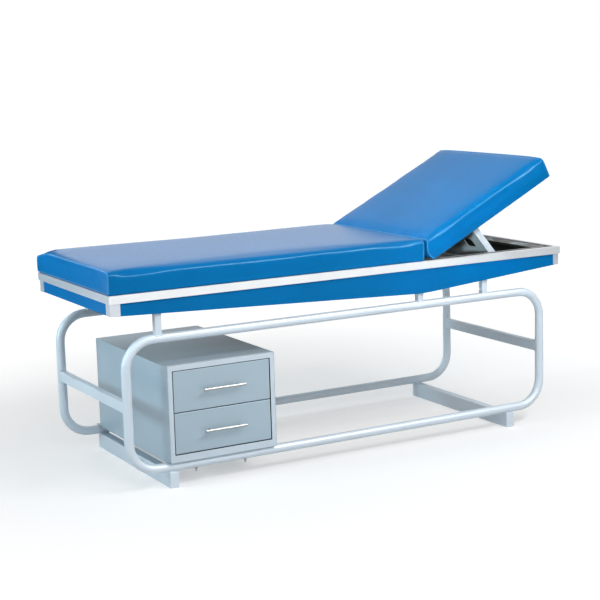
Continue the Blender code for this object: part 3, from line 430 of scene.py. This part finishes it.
def anodised(finishes, along):
    """Anodised aluminium for a trim along an axis; the end trims and corner angles take a darker colour,
    painted shade that stands in for their darker reflections.
    """
    colour = finishes.angle if along else finishes.aluminium
    name = f"anodised_along_{'xyz'[along]}"
    return material_of(name, brushed_material, colour, along=along, roughness=0.32, metallic=0.50)


def plated_zinc(finishes):
    return material_of("plated_zinc", zinc_material, finishes.zinc)


def sanded_plywood(finishes):
    return material_of("sanded_plywood", plywood_material, finishes.wood)


def nodes_named(*starts):
    """CAD nodes whose names begin with one of the words."""
    nodes = [node for name, node in NODES.items() if name.startswith(starts)]
    if not nodes:
        raise RuntimeError(f"no CAD node begins with {', '.join(starts)}")
    return nodes


def dress(nodes, material, other=None, takes_other=None):
    """Gives CAD nodes a finish, and another to the faces picked by a test."""
    for node in nodes:
        node.data.materials.clear()
        node.data.materials.append(material)
        if other:
            node.data.materials.append(other)
        for face in node.data.polygons:
            face.material_index = int(bool(other) and takes_other(face))


# Shared shapes


def add_piece(name, mesh, material, body, matrix=None):
    """A new piece of the visual model that moves with a body."""
    piece = bpy.data.objects.new(name, mesh)
    bpy.context.scene.collection.objects.link(piece)
    mesh.materials.clear()
    mesh.materials.append(material)
    if matrix:
        piece.matrix_world = matrix
    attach(piece, body)
    return piece


def bead_mesh(name, paths, radius, closed=False, resolution=3, unevenness=0.0):
    """Round beads or piping along paths, as one mesh."""
    curve = bpy.data.curves.new(name, "CURVE")
    curve.dimensions = "3D"
    curve.bevel_depth = radius
    curve.bevel_resolution = resolution
    curve.use_fill_caps = True
    for path in paths:
        spline = curve.splines.new("POLY")
        spline.points.add(len(path) - 1)
        for point, place in zip(spline.points, path):
            point.co = (*place, 1)
            point.radius = 1.0 + unevenness * noise.noise(Vector(place) * WELD_DRIFT_SCALE)
        spline.use_cyclic_u = closed
    source = bpy.data.objects.new(name, curve)
    bpy.context.scene.collection.objects.link(source)
    mesh = bpy.data.meshes.new_from_object(source.evaluated_get(bpy.context.evaluated_depsgraph_get()))
    bpy.data.objects.remove(source)
    mesh.name = name
    mesh.shade_smooth()
    return mesh


def outline(low, high, steps=8):
    """Points round a rectangle in a plane."""
    corners = [(low[0], low[1]), (high[0], low[1]), (high[0], high[1]), (low[0], high[1])]
    points = []
    for start, end in zip(corners, corners[1:] + corners[:1]):
        points += [tuple(s + (e - s) * i / steps for s, e in zip(start, end)) for i in range(steps)]
    return points


def boxes_mesh(name, boxes):
    """Boxes given by their lowest and highest corners, as one mesh."""
    form = bmesh.new()
    for low, high in boxes:
        low, high = Vector(low), Vector(high)
        place = Matrix.Translation((low + high) / 2) @ Matrix.Diagonal((*(high - low), 1.0))
        bmesh.ops.create_cube(form, size=1.0, matrix=place)
    mesh = bpy.data.meshes.new(name)
    form.to_mesh(mesh)
    form.free()
    return mesh


def applied_mesh(piece):
    """The piece's mesh with its modifiers applied."""
    bpy.context.view_layer.update()
    mesh = bpy.data.meshes.new_from_object(piece.evaluated_get(bpy.context.evaluated_depsgraph_get()))
    piece.modifiers.clear()
    return mesh


# Upholstery


class Cover:
    """A foam cushion in a tight cover, in its own frame: top, sides and two sewn-in end panels."""

    def __init__(self, low, high, sizes, nose=False):
        self.low, self.high, self.sizes, self.nose = Vector(low), Vector(high), sizes, nose
        self.roll, self.slump = (sizes.back_roll, 0.0) if nose else (sizes.roll, sizes.slump)
        self.middle, self.half = (self.low + self.high) / 2, (self.high - self.low) / 2

    def grid(self, axis):
        """Places of the cell lines: close together at the edges, even between them."""
        low, high = self.low[axis], self.high[axis]
        edge = EDGE_LINES[-1]
        span = high - low - 2 * edge
        count = max(2, round(span / self.sizes.cell))
        inner = [low + edge + span * i / count for i in range(1, count)]
        return [low + line for line in EDGE_LINES] + inner + [high - line for line in EDGE_LINES]

    def end_distance(self, x):
        return max(0.0, min(x - self.low.x, self.high.x - x))

    def roll_at(self, x):
        """Reach of the rolled long edges: tight at the seams, slack just inside them, then even."""
        sizes, depth = self.sizes, self.end_distance(x)
        slack = 1 + sizes.slack * math.exp(-(((depth - SLACK_DEPTH) / SLACK_REACH) ** 2))
        drift = 1 + ROLL_DRIFT * noise.noise(Vector((x * ROLL_DRIFT_SCALE, self.half.x, ROLL_SEED)))
        opened = min(1.0, depth / ROLL_EASE)
        ease = opened**2 * (3 - 2 * opened)
        return sizes.corner + (self.roll * slack * drift - sizes.corner) * ease

    def across(self, x, y, z):
        """Rounds the cross-section: rolled upper edges and a tighter hem."""
        upper = z > self.middle.z
        radius = self.roll_at(x) if upper else self.sizes.hem
        inner_y = self.half.y - radius
        inner_z = self.high.z - radius if upper else self.low.z + radius
        dy, dz = abs(y) - inner_y, abs(z - inner_z)
        if dy > 0 and (z > inner_z) == upper:
            power = self.sizes.facet if upper else 2.0
            shrink = max(dy, dz) / (dy**power + dz**power) ** (1 / power)
            y = math.copysign(inner_y + dy * shrink, y)
            z = inner_z + math.copysign(dz * shrink, z - inner_z)
        return y, z

    def shaped(self, point):
        """Moves a point of the plain box to the stuffed form."""
        sizes = self.sizes
        x = point.x
        y, z = self.across(x, point.y, point.z)
        edge, depth = sizes.end_edge, self.end_distance(x)
        if depth < edge:
            inset = edge - math.sqrt(max(0.0, edge**2 - (edge - depth) ** 2))
            y *= 1 - inset / self.half.y
            z = self.middle.z + (z - self.middle.z) * (1 - inset / self.half.z)
        along = (x - self.middle.x) / self.half.x
        side = y / self.half.y
        rise = (z - self.low.z) / (self.high.z - self.low.z)
        belly = math.sin(math.pi * min(1, max(0, rise)))
        end_share = abs(along) ** END_POWER
        side_share = abs(side) ** SIDE_POWER
        pull = sizes.draw * rise
        swell = sizes.swell * belly * (1 - CORNER_PINCH * end_share * side_share)
        x += math.copysign(end_share * (swell - pull * (1 - side**2)), along)
        y += math.copysign(side_share * (swell - pull * (1 - along**2)), side)
        fall = 1.0 if self.nose and along < 0 else CROWN_END_FALL
        crown = sizes.crown * rise**CROWN_RISE_POWER
        z += crown * (1 - fall * along**CROWN_END_POWER) * (1 - side**CROWN_SIDE_POWER)
        from_foot, from_far = (x - self.low.x) / SLUMP_LENGTH, (self.half.y - y) / SLUMP_WIDTH
        z -= self.slump * rise**2 * math.exp(-(from_foot**2) - from_far**2)
        if self.nose:
            share = max(0.0, 1 - (x - self.low.x) / sizes.nose_reach) ** 2
            x += share * (sizes.nose_lean * rise**2 - sizes.nose * belly)
        return Vector((x, y, z))

    def wrinkle(self, point):
        """Height of the gathers along the end seams and base, and of the uneven rolled edges."""
        sizes = self.sizes
        edge = max(0.0, self.half.y - abs(point.y))
        rise = (point.z - self.low.z) / (self.high.z - self.low.z)
        across = (point.y * GATHER_ACROSS, point.z * GATHER_ACROSS)
        gather = noise.noise(Vector((point.x * GATHER_ALONG, *across)))
        seam = gather * math.exp(-self.end_distance(point.x) / GATHER_REACH)
        tug = noise.noise(Vector((point.x * TUG_ALONG, point.y * TUG_ACROSS, TUG_SEED)))
        base = tug * math.exp(-edge / TUG_REACH) * (1 - rise)
        side = math.copysign(WAVE_SIDE_SEED, point.y)
        wave = noise.noise(Vector((point.x * WAVE_SCALE, side, WAVE_SEED)))
        rolled = math.exp(-((edge / WAVE_REACH) ** 2)) * max(0.0, rise - WAVE_START)
        return sizes.pucker * (seam + TUG_SHARE * base) + sizes.wave * wave * rolled

    def mesh(self, name):
        """The cover's cells, shaped but not yet simulated."""
        form = bmesh.new()
        bmesh.ops.create_cube(form, size=1.0)
        bmesh.ops.scale(form, vec=self.high - self.low, verts=form.verts)
        bmesh.ops.translate(form, vec=self.middle, verts=form.verts)
        for axis in range(3):
            for place in self.grid(axis):
                geometry = form.verts[:] + form.edges[:] + form.faces[:]
                point = self.middle.copy()
                point[axis] = place
                normal = Vector((axis == 0, axis == 1, axis == 2))
                bmesh.ops.bisect_plane(form, geom=geometry, plane_co=point, plane_no=normal)
        for vertex in form.verts:
            vertex.co = self.shaped(vertex.co)
        mesh = bpy.data.meshes.new(name)
        form.to_mesh(mesh)
        form.free()
        mesh.shade_smooth()
        return mesh

    def seam(self, end):
        """The seam's path round an end panel: up one corner, along the top, down the other."""
        inset = SEAM_INSET * self.sizes.end_edge
        x = self.low.x + inset if end < 0 else self.high.x - inset
        top, half = self.high.z, self.half.y
        rises = [self.low.z + (top - self.low.z) * i / SEAM_RISE_STEPS for i in range(SEAM_RISE_STEPS)]
        spread = [half * i / SEAM_HALF_STEPS for i in range(-SEAM_HALF_STEPS, SEAM_HALF_STEPS + 1)]
        path = [(-half, z) for z in rises] + [(y, top) for y in spread] + [(half, z) for z in rises[::-1]]
        return [self.shaped(Vector((x, y, z))) for y, z in path]


def hold_seams(piece, cover, sizes):
    """Names the vertices that the seams and the base hold."""
    held = piece.vertex_groups.new(name="held")
    seam, base = sizes.end_edge * SEAM_HOLD, cover.low.z + sizes.hem * HEM_HOLD
    for vertex in piece.data.vertices:
        if vertex.co.z < base or cover.end_distance(vertex.co.x) < seam:
            held.add([vertex.index], 1.0, "REPLACE")
    return held.name


def add_cloth(piece, held, frames):
    """Makes the piece a cloth over pressing foam, without gravity."""
    cloth = piece.modifiers.new("Cover", "CLOTH")
    cloth.settings.quality = 4
    cloth.settings.mass = 0.4
    cloth.settings.tension_stiffness = 25
    cloth.settings.compression_stiffness = 25
    cloth.settings.bending_stiffness = 2.0
    cloth.settings.vertex_group_mass = held
    cloth.settings.use_pressure = True
    cloth.settings.uniform_pressure_force = 4.0
    cloth.settings.shrink_min = -0.004
    cloth.settings.effector_weights.gravity = 0.0
    cloth.collision_settings.use_collision = False
    cloth.point_cache.frame_start = 1
    cloth.point_cache.frame_end = frames


def simulate_cover(piece, cover, sizes):
    """Lets the cover swell under the foam's pressure, and caps each vertex's move."""
    rest = [vertex.co.copy() for vertex in piece.data.vertices]
    add_cloth(piece, hold_seams(piece, cover, sizes), sizes.frames)
    scene = bpy.context.scene
    for step in range(1, sizes.frames + 1):
        scene.frame_set(step)
    moved = applied_mesh(piece)
    for vertex, start, end in zip(piece.data.vertices, rest, moved.vertices):
        move = end.co - start
        if move.length > LEAST_MOVE:
            vertex.co = start + move * (sizes.puff * math.tanh(move.length / sizes.puff) / move.length)
    piece.vertex_groups.clear()
    bpy.data.meshes.remove(moved)
    scene.frame_set(1)


def gather_cover(mesh, cover):
    """Raises the gathers and uneven edges along the cover's normals."""
    mesh.update()
    moves = [vertex.normal * cover.wrinkle(vertex.co) for vertex in mesh.vertices]
    for vertex, move in zip(mesh.vertices, moves):
        vertex.co += move


def cut_pockets(piece, boxes):
    """Opens the underside for the board and the hinge."""
    tools = [bpy.data.objects.new("pocket", boxes_mesh("pocket", [box])) for box in boxes]
    for tool in tools:
        bpy.context.scene.collection.objects.link(tool)
        modifier = piece.modifiers.new("Pocket", "BOOLEAN")
        modifier.operation = "DIFFERENCE"
        modifier.object = tool
    piece.data = applied_mesh(piece)
    for tool in tools:
        bpy.data.objects.remove(tool)


def local_box(node, matrix):
    """Lowest and highest corners of a CAD node in another frame."""
    inverse = matrix.inverted()
    places = [inverse @ vertex.co for vertex in NODES[node].data.vertices]
    low = Vector(min(place[axis] for place in places) for axis in range(3))
    high = Vector(max(place[axis] for place in places) for axis in range(3))
    return low, high


def pocket_boxes(board, leaf, matrix, sizes, nose):
    """Spaces for the board and the hinge in a cover's underside."""
    board_low, board_high = local_box(board, matrix)
    leaf_low, leaf_high = local_box(leaf, matrix)
    board_low.z -= POCKET_OPEN
    leaf_low.z -= POCKET_OPEN
    if nose:
        leaf_low.x, leaf_high.x = NOSE_POCKET
        leaf_high.z = sizes.nose
    else:
        leaf_high.x += POCKET_OPEN
        leaf_high.z = board_high.z + LEAF_ROOM
    clear = Vector((POCKET_CLEAR,) * 3)
    return [(board_low - clear, board_high + clear), (leaf_low - clear, leaf_high + clear)]


def upholster(name, node, board, leaf, body, sizes, finishes, matrix=None, nose=False):
    """Makes one cushion's cover and its piped seams in the place of its CAD solid."""
    matrix = matrix or Matrix.Identity(4)
    low, high = local_box(node, matrix)
    low += Vector((sizes.swell, sizes.swell, 0))
    high -= Vector((sizes.swell, sizes.swell, sizes.crown - sizes.proud))
    if nose:
        low.x = 0.0
    cover = Cover(low, high, sizes, nose)
    piece = bpy.data.objects.new(name, cover.mesh(name))
    bpy.context.scene.collection.objects.link(piece)
    simulate_cover(piece, cover, sizes)
    gather_cover(piece.data, cover)
    cut_pockets(piece, pocket_boxes(board, leaf, matrix, sizes, nose))
    piece.data.shade_smooth()
    piece.data.set_sharp_from_angle(angle=CREASE)
    piece.data.materials.clear()
    piece.data.materials.append(blue_vinyl(finishes))
    piece.matrix_world = matrix
    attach(piece, body)
    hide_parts(node)
    seams = bead_mesh(f"{name}_piping", [cover.seam(-1), cover.seam(1)], sizes.welt)
    add_piece(f"{name}_piping", seams, piping_vinyl(finishes), body, matrix)


class COUCH_OT_seat(bpy.types.Operator):
    """Upholster the fixed seat"""

    bl_idname = "couch.seat"
    bl_label = "Seat"

    def execute(self, context):
        sizes, finishes, _ = settings(context)
        upholster("seat_cover", "seat_cushion", "seat_board", "hinge_fixed_leaf", "table", sizes, finishes)
        dress(nodes_named("seat_board"), sanded_plywood(finishes))
        return {"FINISHED"}


class COUCH_OT_backrest(bpy.types.Operator):
    """Upholster the raising backrest"""

    bl_idname = "couch.backrest"
    bl_label = "Backrest"

    def execute(self, context):
        sizes, finishes, _ = settings(context)
        raised = Matrix.Translation(HINGE["pos_m"]) @ Matrix.Rotation(-sizes.angle, 4, "Y")
        upholster(
            "back_cover",
            "back_cushion",
            "back_board",
            "hinge_moving_leaf",
            "backrest",
            sizes,
            finishes,
            raised,
            nose=True,
        )
        dress(nodes_named("back_board"), sanded_plywood(finishes))
        return {"FINISHED"}


class COUCH_OT_bed_box(bpy.types.Operator):
    """Clad the skirts and brush the trim"""

    bl_idname = "couch.bed_box"
    bl_label = "Bed box"

    def execute(self, context):
        finishes = settings(context)[1]
        for place, axis, sign in (("near", 1, -1), ("far", 1, 1), ("foot", 0, -1), ("head", 0, 1)):
            self.clad(place, axis, sign, finishes)
        dress(nodes_named("corner_angle"), anodised(finishes, 2))
        inside = nodes_named("side_rail", "foot_rail", "head_rail", "hinge_rail", "bed_floor")
        dress(inside, near_black_and_shade_paint(finishes))
        self.inner_edge(finishes)
        return {"FINISHED"}

    def clad(self, place, axis, sign, finishes):
        """One skirt in vinyl, with its inner side near-black, and its trim brushed along its length."""

        def inward(face):
            return face.normal[axis] * sign < -FACING

        dress(nodes_named(f"skirt_{place}"), blue_vinyl(finishes), near_black_and_shade_paint(finishes), inward)
        dress(nodes_named(f"trim_{place}"), anodised(finishes, 1 - axis))

    def inner_edge(self, finishes):
        """The trim's folded inner edge, which shows past the raised backrest."""
        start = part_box("hinge_rail")[1].x
        end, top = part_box("head_rail")[0].x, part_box("trim_far")[1].z
        near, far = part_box("side_rail_near")[1].y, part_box("side_rail_far")[0].y
        low = top - FOLD
        strips = [
            ((start, near, low), (end, near + FOLD_WALL, top)),
            ((start, far - FOLD_WALL, low), (end, far, top)),
            ((end - FOLD_WALL, near + FOLD_WALL, low), (end, far - FOLD_WALL, top)),
        ]
        mesh = boxes_mesh("trim_inner_edge", strips)
        edge = brushed_material("edge_aluminium", finishes.aluminium, along=0, roughness=0.45, metallic=0.1)
        add_piece("trim_inner_edge", mesh, edge, "table")


class COUCH_OT_stand(bpy.types.Operator):
    """Paint the tube stand and bead its welds"""

    bl_idname = "couch.stand"
    bl_label = "Stand"

    def execute(self, context):
        finishes = settings(context)[1]
        paint = tube_paint(finishes)
        dress(nodes_named("loop", "post", "foot_base", "head_base", "foot_cross", "head_cross"), paint)
        paths = self.post_welds() + self.cross_welds() + self.beam_welds()
        beads = bead_mesh("stand_welds", paths, WELD, closed=True, resolution=2, unevenness=WELD_DRIFT)
        add_piece("stand_welds", beads, paint, "table")
        return {"FINISHED"}

    def tube(self, side):
        """Radius of a loop's tube, its centre line's place across, and the upper run's height."""
        low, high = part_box(f"loop_{side}")
        radius = (high.y - low.y) / 2
        return radius, (high.y + low.y) / 2, high.z - radius

    def post_welds(self):
        paths = []
        for side in SIDES:
            radius, centre, height = self.tube(side)
            for post in nodes_named(f"post_{side}"):
                low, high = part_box(post.name)
                path = outline((low.x, low.y), (high.x, high.y))
                paths.append([(x, y, height + math.sqrt(radius**2 - (y - centre) ** 2)) for x, y in path])
        return paths

    def cross_welds(self):
        paths = []
        for side, end in ((side, end) for side in SIDES for end in ENDS):
            radius, centre, _ = self.tube(side)
            low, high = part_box(f"{end}_cross_bar")
            middle, inward = (low.x + high.x) / 2, -math.copysign(1, centre)
            path = outline((low.x, low.z), (high.x, high.z))
            depths = [inward * math.sqrt(radius**2 - (x - middle) ** 2) for x, _ in path]
            paths.append([(x, centre + depth, z) for (x, z), depth in zip(path, depths)])
        return paths

    def beam_welds(self):
        paths = []
        for side, end in ((side, end) for side in SIDES for end in ENDS):
            centre = self.tube(side)[1]
            low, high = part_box(f"{end}_base_beam")
            path = outline(
                (low.x + BEAM_WELD_INSET, centre - BEAM_WELD_HALF),
                (high.x - BEAM_WELD_INSET, centre + BEAM_WELD_HALF),
            )
            paths.append([(x, y, high.z + BEAM_WELD_RISE) for x, y in path])
        return paths


class COUCH_OT_mechanism(bpy.types.Operator):
    """Plate the backrest's hinge and racks and paint its prop"""

    bl_idname = "couch.mechanism"
    bl_label = "Mechanism"

    def execute(self, context):
        finishes = settings(context)[1]
        rods = brushed_material("rod_stainless", finishes.stainless, along=1, roughness=0.28)
        # The plate between the bars takes a lighter paint than the bars: painted light on a face that the
        # backrest shades.
        plate = painted("plate_paint", finishes.plate, metallic=0.0, roughness=0.50)
        dress(nodes_named("hinge_fixed", "hinge_moving", "rack", "prop_bracket"), plated_zinc(finishes))
        dress(nodes_named("hinge_pin", "prop_pivot"), rods)
        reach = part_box("prop_bracket_far")[1].y

        def between_bars(face):
            return abs(face.center.y) < reach

        dress(nodes_named("prop_frame"), tube_paint(finishes), plate, between_bars)
        return {"FINISHED"}


class COUCH_OT_cabinet(bpy.types.Operator):
    """Paint the cabinet and fit its drawers"""

    bl_idname = "couch.cabinet"
    bl_label = "Cabinet and drawers"

    def execute(self, context):
        finishes = settings(context)[1]
        paint = painted("cabinet_paint", finishes.cabinet, metallic=0.25, roughness=0.38)
        face_paint = painted("face_paint", finishes.face, metallic=0.2, roughness=0.36)
        bars = brushed_material("handle_stainless", finishes.stainless, along=0, roughness=0.44)
        dress(nodes_named("cabinet_wrapper", "cabinet_top", "cabinet_bottom"), paint)
        low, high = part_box("cabinet_frame")

        def is_edge(face):
            return abs(face.normal.y) < FACING

        def in_window(face):
            place = face.center
            inside = all(low[i] + FRAME_MARGIN < place[i] < high[i] - FRAME_MARGIN for i in (0, 2))
            return inside and is_edge(face)

        # The face frame's window faces are near-black: painted shade for the gaps round the drawers.
        dress(nodes_named("cabinet_frame"), face_paint, near_black_and_shade_paint(finishes), in_window)
        dress(nodes_named("cabinet_bolt"), bars)
        for level in LEVELS:
            # The drawer fronts' edge faces are near-black as painted shade for the gaps; the real edges
            # carry the cabinet paint.
            dress(nodes_named(f"drawer_{level}_front"), paint, near_black_and_shade_paint(finishes), is_edge)
            dress(nodes_named(f"drawer_{level}_handle"), bars)
            dress(nodes_named(f"drawer_{level}_tray", f"drawer_{level}_runner"), plated_zinc(finishes))
        return {"FINISHED"}


def seen_directly(tree):
    """1 for rays from the camera, mirror-like surfaces and glass, and 0 for diffuse light."""
    path = tree.nodes.new("ShaderNodeLightPath").outputs
    total = path["Is Camera Ray"]
    for name in ("Is Glossy Ray", "Is Transmission Ray"):
        larger = tree.nodes.new("ShaderNodeMath")
        larger.operation = "MAXIMUM"
        tree.links.new(total, larger.inputs[0])
        tree.links.new(path[name], larger.inputs[1])
        total = larger.outputs[0]
    return total


class COUCH_OT_studio(bpy.types.Operator):
    """Set the pale floor, soft lamps and camera"""

    bl_idname = "couch.studio"
    bl_label = "Studio"

    def execute(self, context):
        studio = settings(context)[2]
        self.floor(studio)
        self.sky(context.scene, studio)
        self.lamp("key_lamp", KEY_LAMP, studio.key)
        fill = self.lamp("fill_lamp", FILL_LAMP, studio.fill)
        self.lamp("strip_lamp", STRIP_LAMP, studio.strip)
        glint = self.lamp("glint_lamp", STRIP_LAMP, studio.glint)
        glint.visible_diffuse = False
        foot = self.lamp("foot_lamp", FOOT_LAMP, studio.side)
        fill.data.color = foot.data.color = studio.cool
        self.lamp("rim_lamp", RIM_LAMP, studio.rim)
        self.flag("foot_flag", FOOT_FLAG, studio.flag)
        self.flag("head_flag", HEAD_FLAG, studio.flag)
        self.camera(context.scene, studio)
        return {"FINISHED"}

    def floor(self, studio):
        bpy.ops.mesh.primitive_plane_add(size=FLOOR_SIZE)
        floor = bpy.context.object
        floor.name = "studio_floor"
        surface = Surface("studio_floor", Roughness=0.9, Specular_IOR_Level=0.1)
        speckle = surface.noise(scale=30.0, detail=2.0)
        surface.finish(Base_Color=surface.tints(speckle, studio.floor, dark=0.995, light=1.005))
        self.whiten(surface)
        floor.data.materials.append(surface.material)

    def whiten(self, surface):
        """Lifts the floor to white away from the table, as the camera and reflections see it."""
        away = surface.add("VectorMath", "Value", {0: surface.place}, operation="LENGTH")
        limits = {"Value": away, "From_Min": 0.6, "From_Max": 3.5, "To_Min": 0.42, "To_Max": 0.84}
        rise = surface.add("MapRange", "Result", limits, interpolation_type="SMOOTHSTEP")
        lift = surface.add("Math", "Value", {0: seen_directly(surface.tree), 1: rise}, operation="MULTIPLY")
        surface.feed(surface.shader, {"Emission_Color": (1.0, 1.0, 1.0, 1.0), "Emission_Strength": lift})

    def sky(self, scene, studio):
        world = bpy.data.worlds.new("studio_sky")
        world.use_nodes = True
        scene.world = world
        tree = world.node_tree
        lit = tree.nodes["Background"]
        lit.inputs["Color"].default_value = (0.96, 0.98, 1.0, 1.0)
        lit.inputs["Strength"].default_value = studio.sky
        white = tree.nodes.new("ShaderNodeBackground")
        white.inputs["Color"].default_value = (1.0, 1.0, 1.0, 1.0)
        mix = tree.nodes.new("ShaderNodeMixShader")
        tree.links.new(seen_directly(tree), mix.inputs["Fac"])
        tree.links.new(lit.outputs[0], mix.inputs[1])
        tree.links.new(white.outputs[0], mix.inputs[2])
        tree.links.new(mix.outputs[0], tree.nodes["World Output"].inputs["Surface"])

    def lamp(self, name, panel, power):
        data = bpy.data.lights.new(name, "AREA")
        data.shape = "RECTANGLE"
        data.size, data.size_y = panel.size
        data.spread = math.radians(panel.spread)
        data.energy = power
        lamp = bpy.data.objects.new(name, data)
        lamp.location = panel.place
        lamp.rotation_euler = panel.turn()
        bpy.context.scene.collection.objects.link(lamp)
        return lamp

    def flag(self, name, panel, colour):
        """A dark panel beside the picture, which only reflections show."""
        bpy.ops.mesh.primitive_plane_add(size=1.0)
        flag = bpy.context.object
        flag.name = name
        flag.location = panel.place
        flag.rotation_euler = panel.turn()
        flag.scale = (*panel.size, 1.0)
        flag.visible_camera = flag.visible_diffuse = flag.visible_shadow = False
        surface = Surface(name, Roughness=0.9)
        weave = surface.noise(scale=60.0, detail=2.0)
        surface.finish(Base_Color=surface.tints(weave, colour, dark=0.9, light=1.1))
        flag.data.materials.append(surface.material)

    def camera(self, scene, studio):
        data = bpy.data.cameras.new("photo_camera")
        data.sensor_width = 36.0
        data.lens = studio.lens
        camera = bpy.data.objects.new("photo_camera", data)
        scene.collection.objects.link(camera)
        turn, tilt = studio.azimuth, studio.elevation
        back = Vector((math.sin(turn) * math.cos(tilt), -math.cos(turn) * math.cos(tilt), math.sin(tilt)))
        right = (-back).cross(Vector((0, 0, 1))).normalized()
        up = back.cross(right)
        right, up = (
            right * math.cos(studio.roll) + up * math.sin(studio.roll),
            up * math.cos(studio.roll) - right * math.sin(studio.roll),
        )
        turned = Matrix((right, up, back)).transposed().to_4x4()
        camera.matrix_world = Matrix.Translation(studio.eye) @ turned
        scene.camera = camera
        scene.view_settings.view_transform = "Standard"


STEPS = ("seat", "backrest", "bed_box", "stand", "mechanism", "cabinet", "studio")


class COUCH_PT_dressing(bpy.types.Panel):
    """Steps that dress the examination table"""

    bl_label = "Examination table"
    bl_idname = "COUCH_PT_dressing"
    bl_space_type = "VIEW_3D"
    bl_region_type = "UI"
    bl_category = "Couch"

    def draw(self, context):
        for step in STEPS:
            self.layout.operator(f"couch.{step}")
        for group in settings(context):
            box = self.layout.box()
            for name in group.bl_rna.properties.keys():
                if name not in {"rna_type", "name"}:
                    box.prop(group, name)


CLASSES = (
    CouchUpholstery,
    CouchFinishes,
    CouchStudio,
    COUCH_OT_seat,
    COUCH_OT_backrest,
    COUCH_OT_bed_box,
    COUCH_OT_stand,
    COUCH_OT_mechanism,
    COUCH_OT_cabinet,
    COUCH_OT_studio,
    COUCH_PT_dressing,
)


def register():
    for cls in CLASSES:
        bpy.utils.register_class(cls)
    bpy.types.Scene.couch_upholstery = PointerProperty(type=CouchUpholstery)
    bpy.types.Scene.couch_finishes = PointerProperty(type=CouchFinishes)
    bpy.types.Scene.couch_studio = PointerProperty(type=CouchStudio)


def unregister():
    del bpy.types.Scene.couch_studio
    del bpy.types.Scene.couch_finishes
    del bpy.types.Scene.couch_upholstery
    for cls in reversed(CLASSES):
        bpy.utils.unregister_class(cls)


def main():
    register()
    for step in STEPS:
        getattr(bpy.ops.couch, step)()


if __name__ == "__main__":
    main()
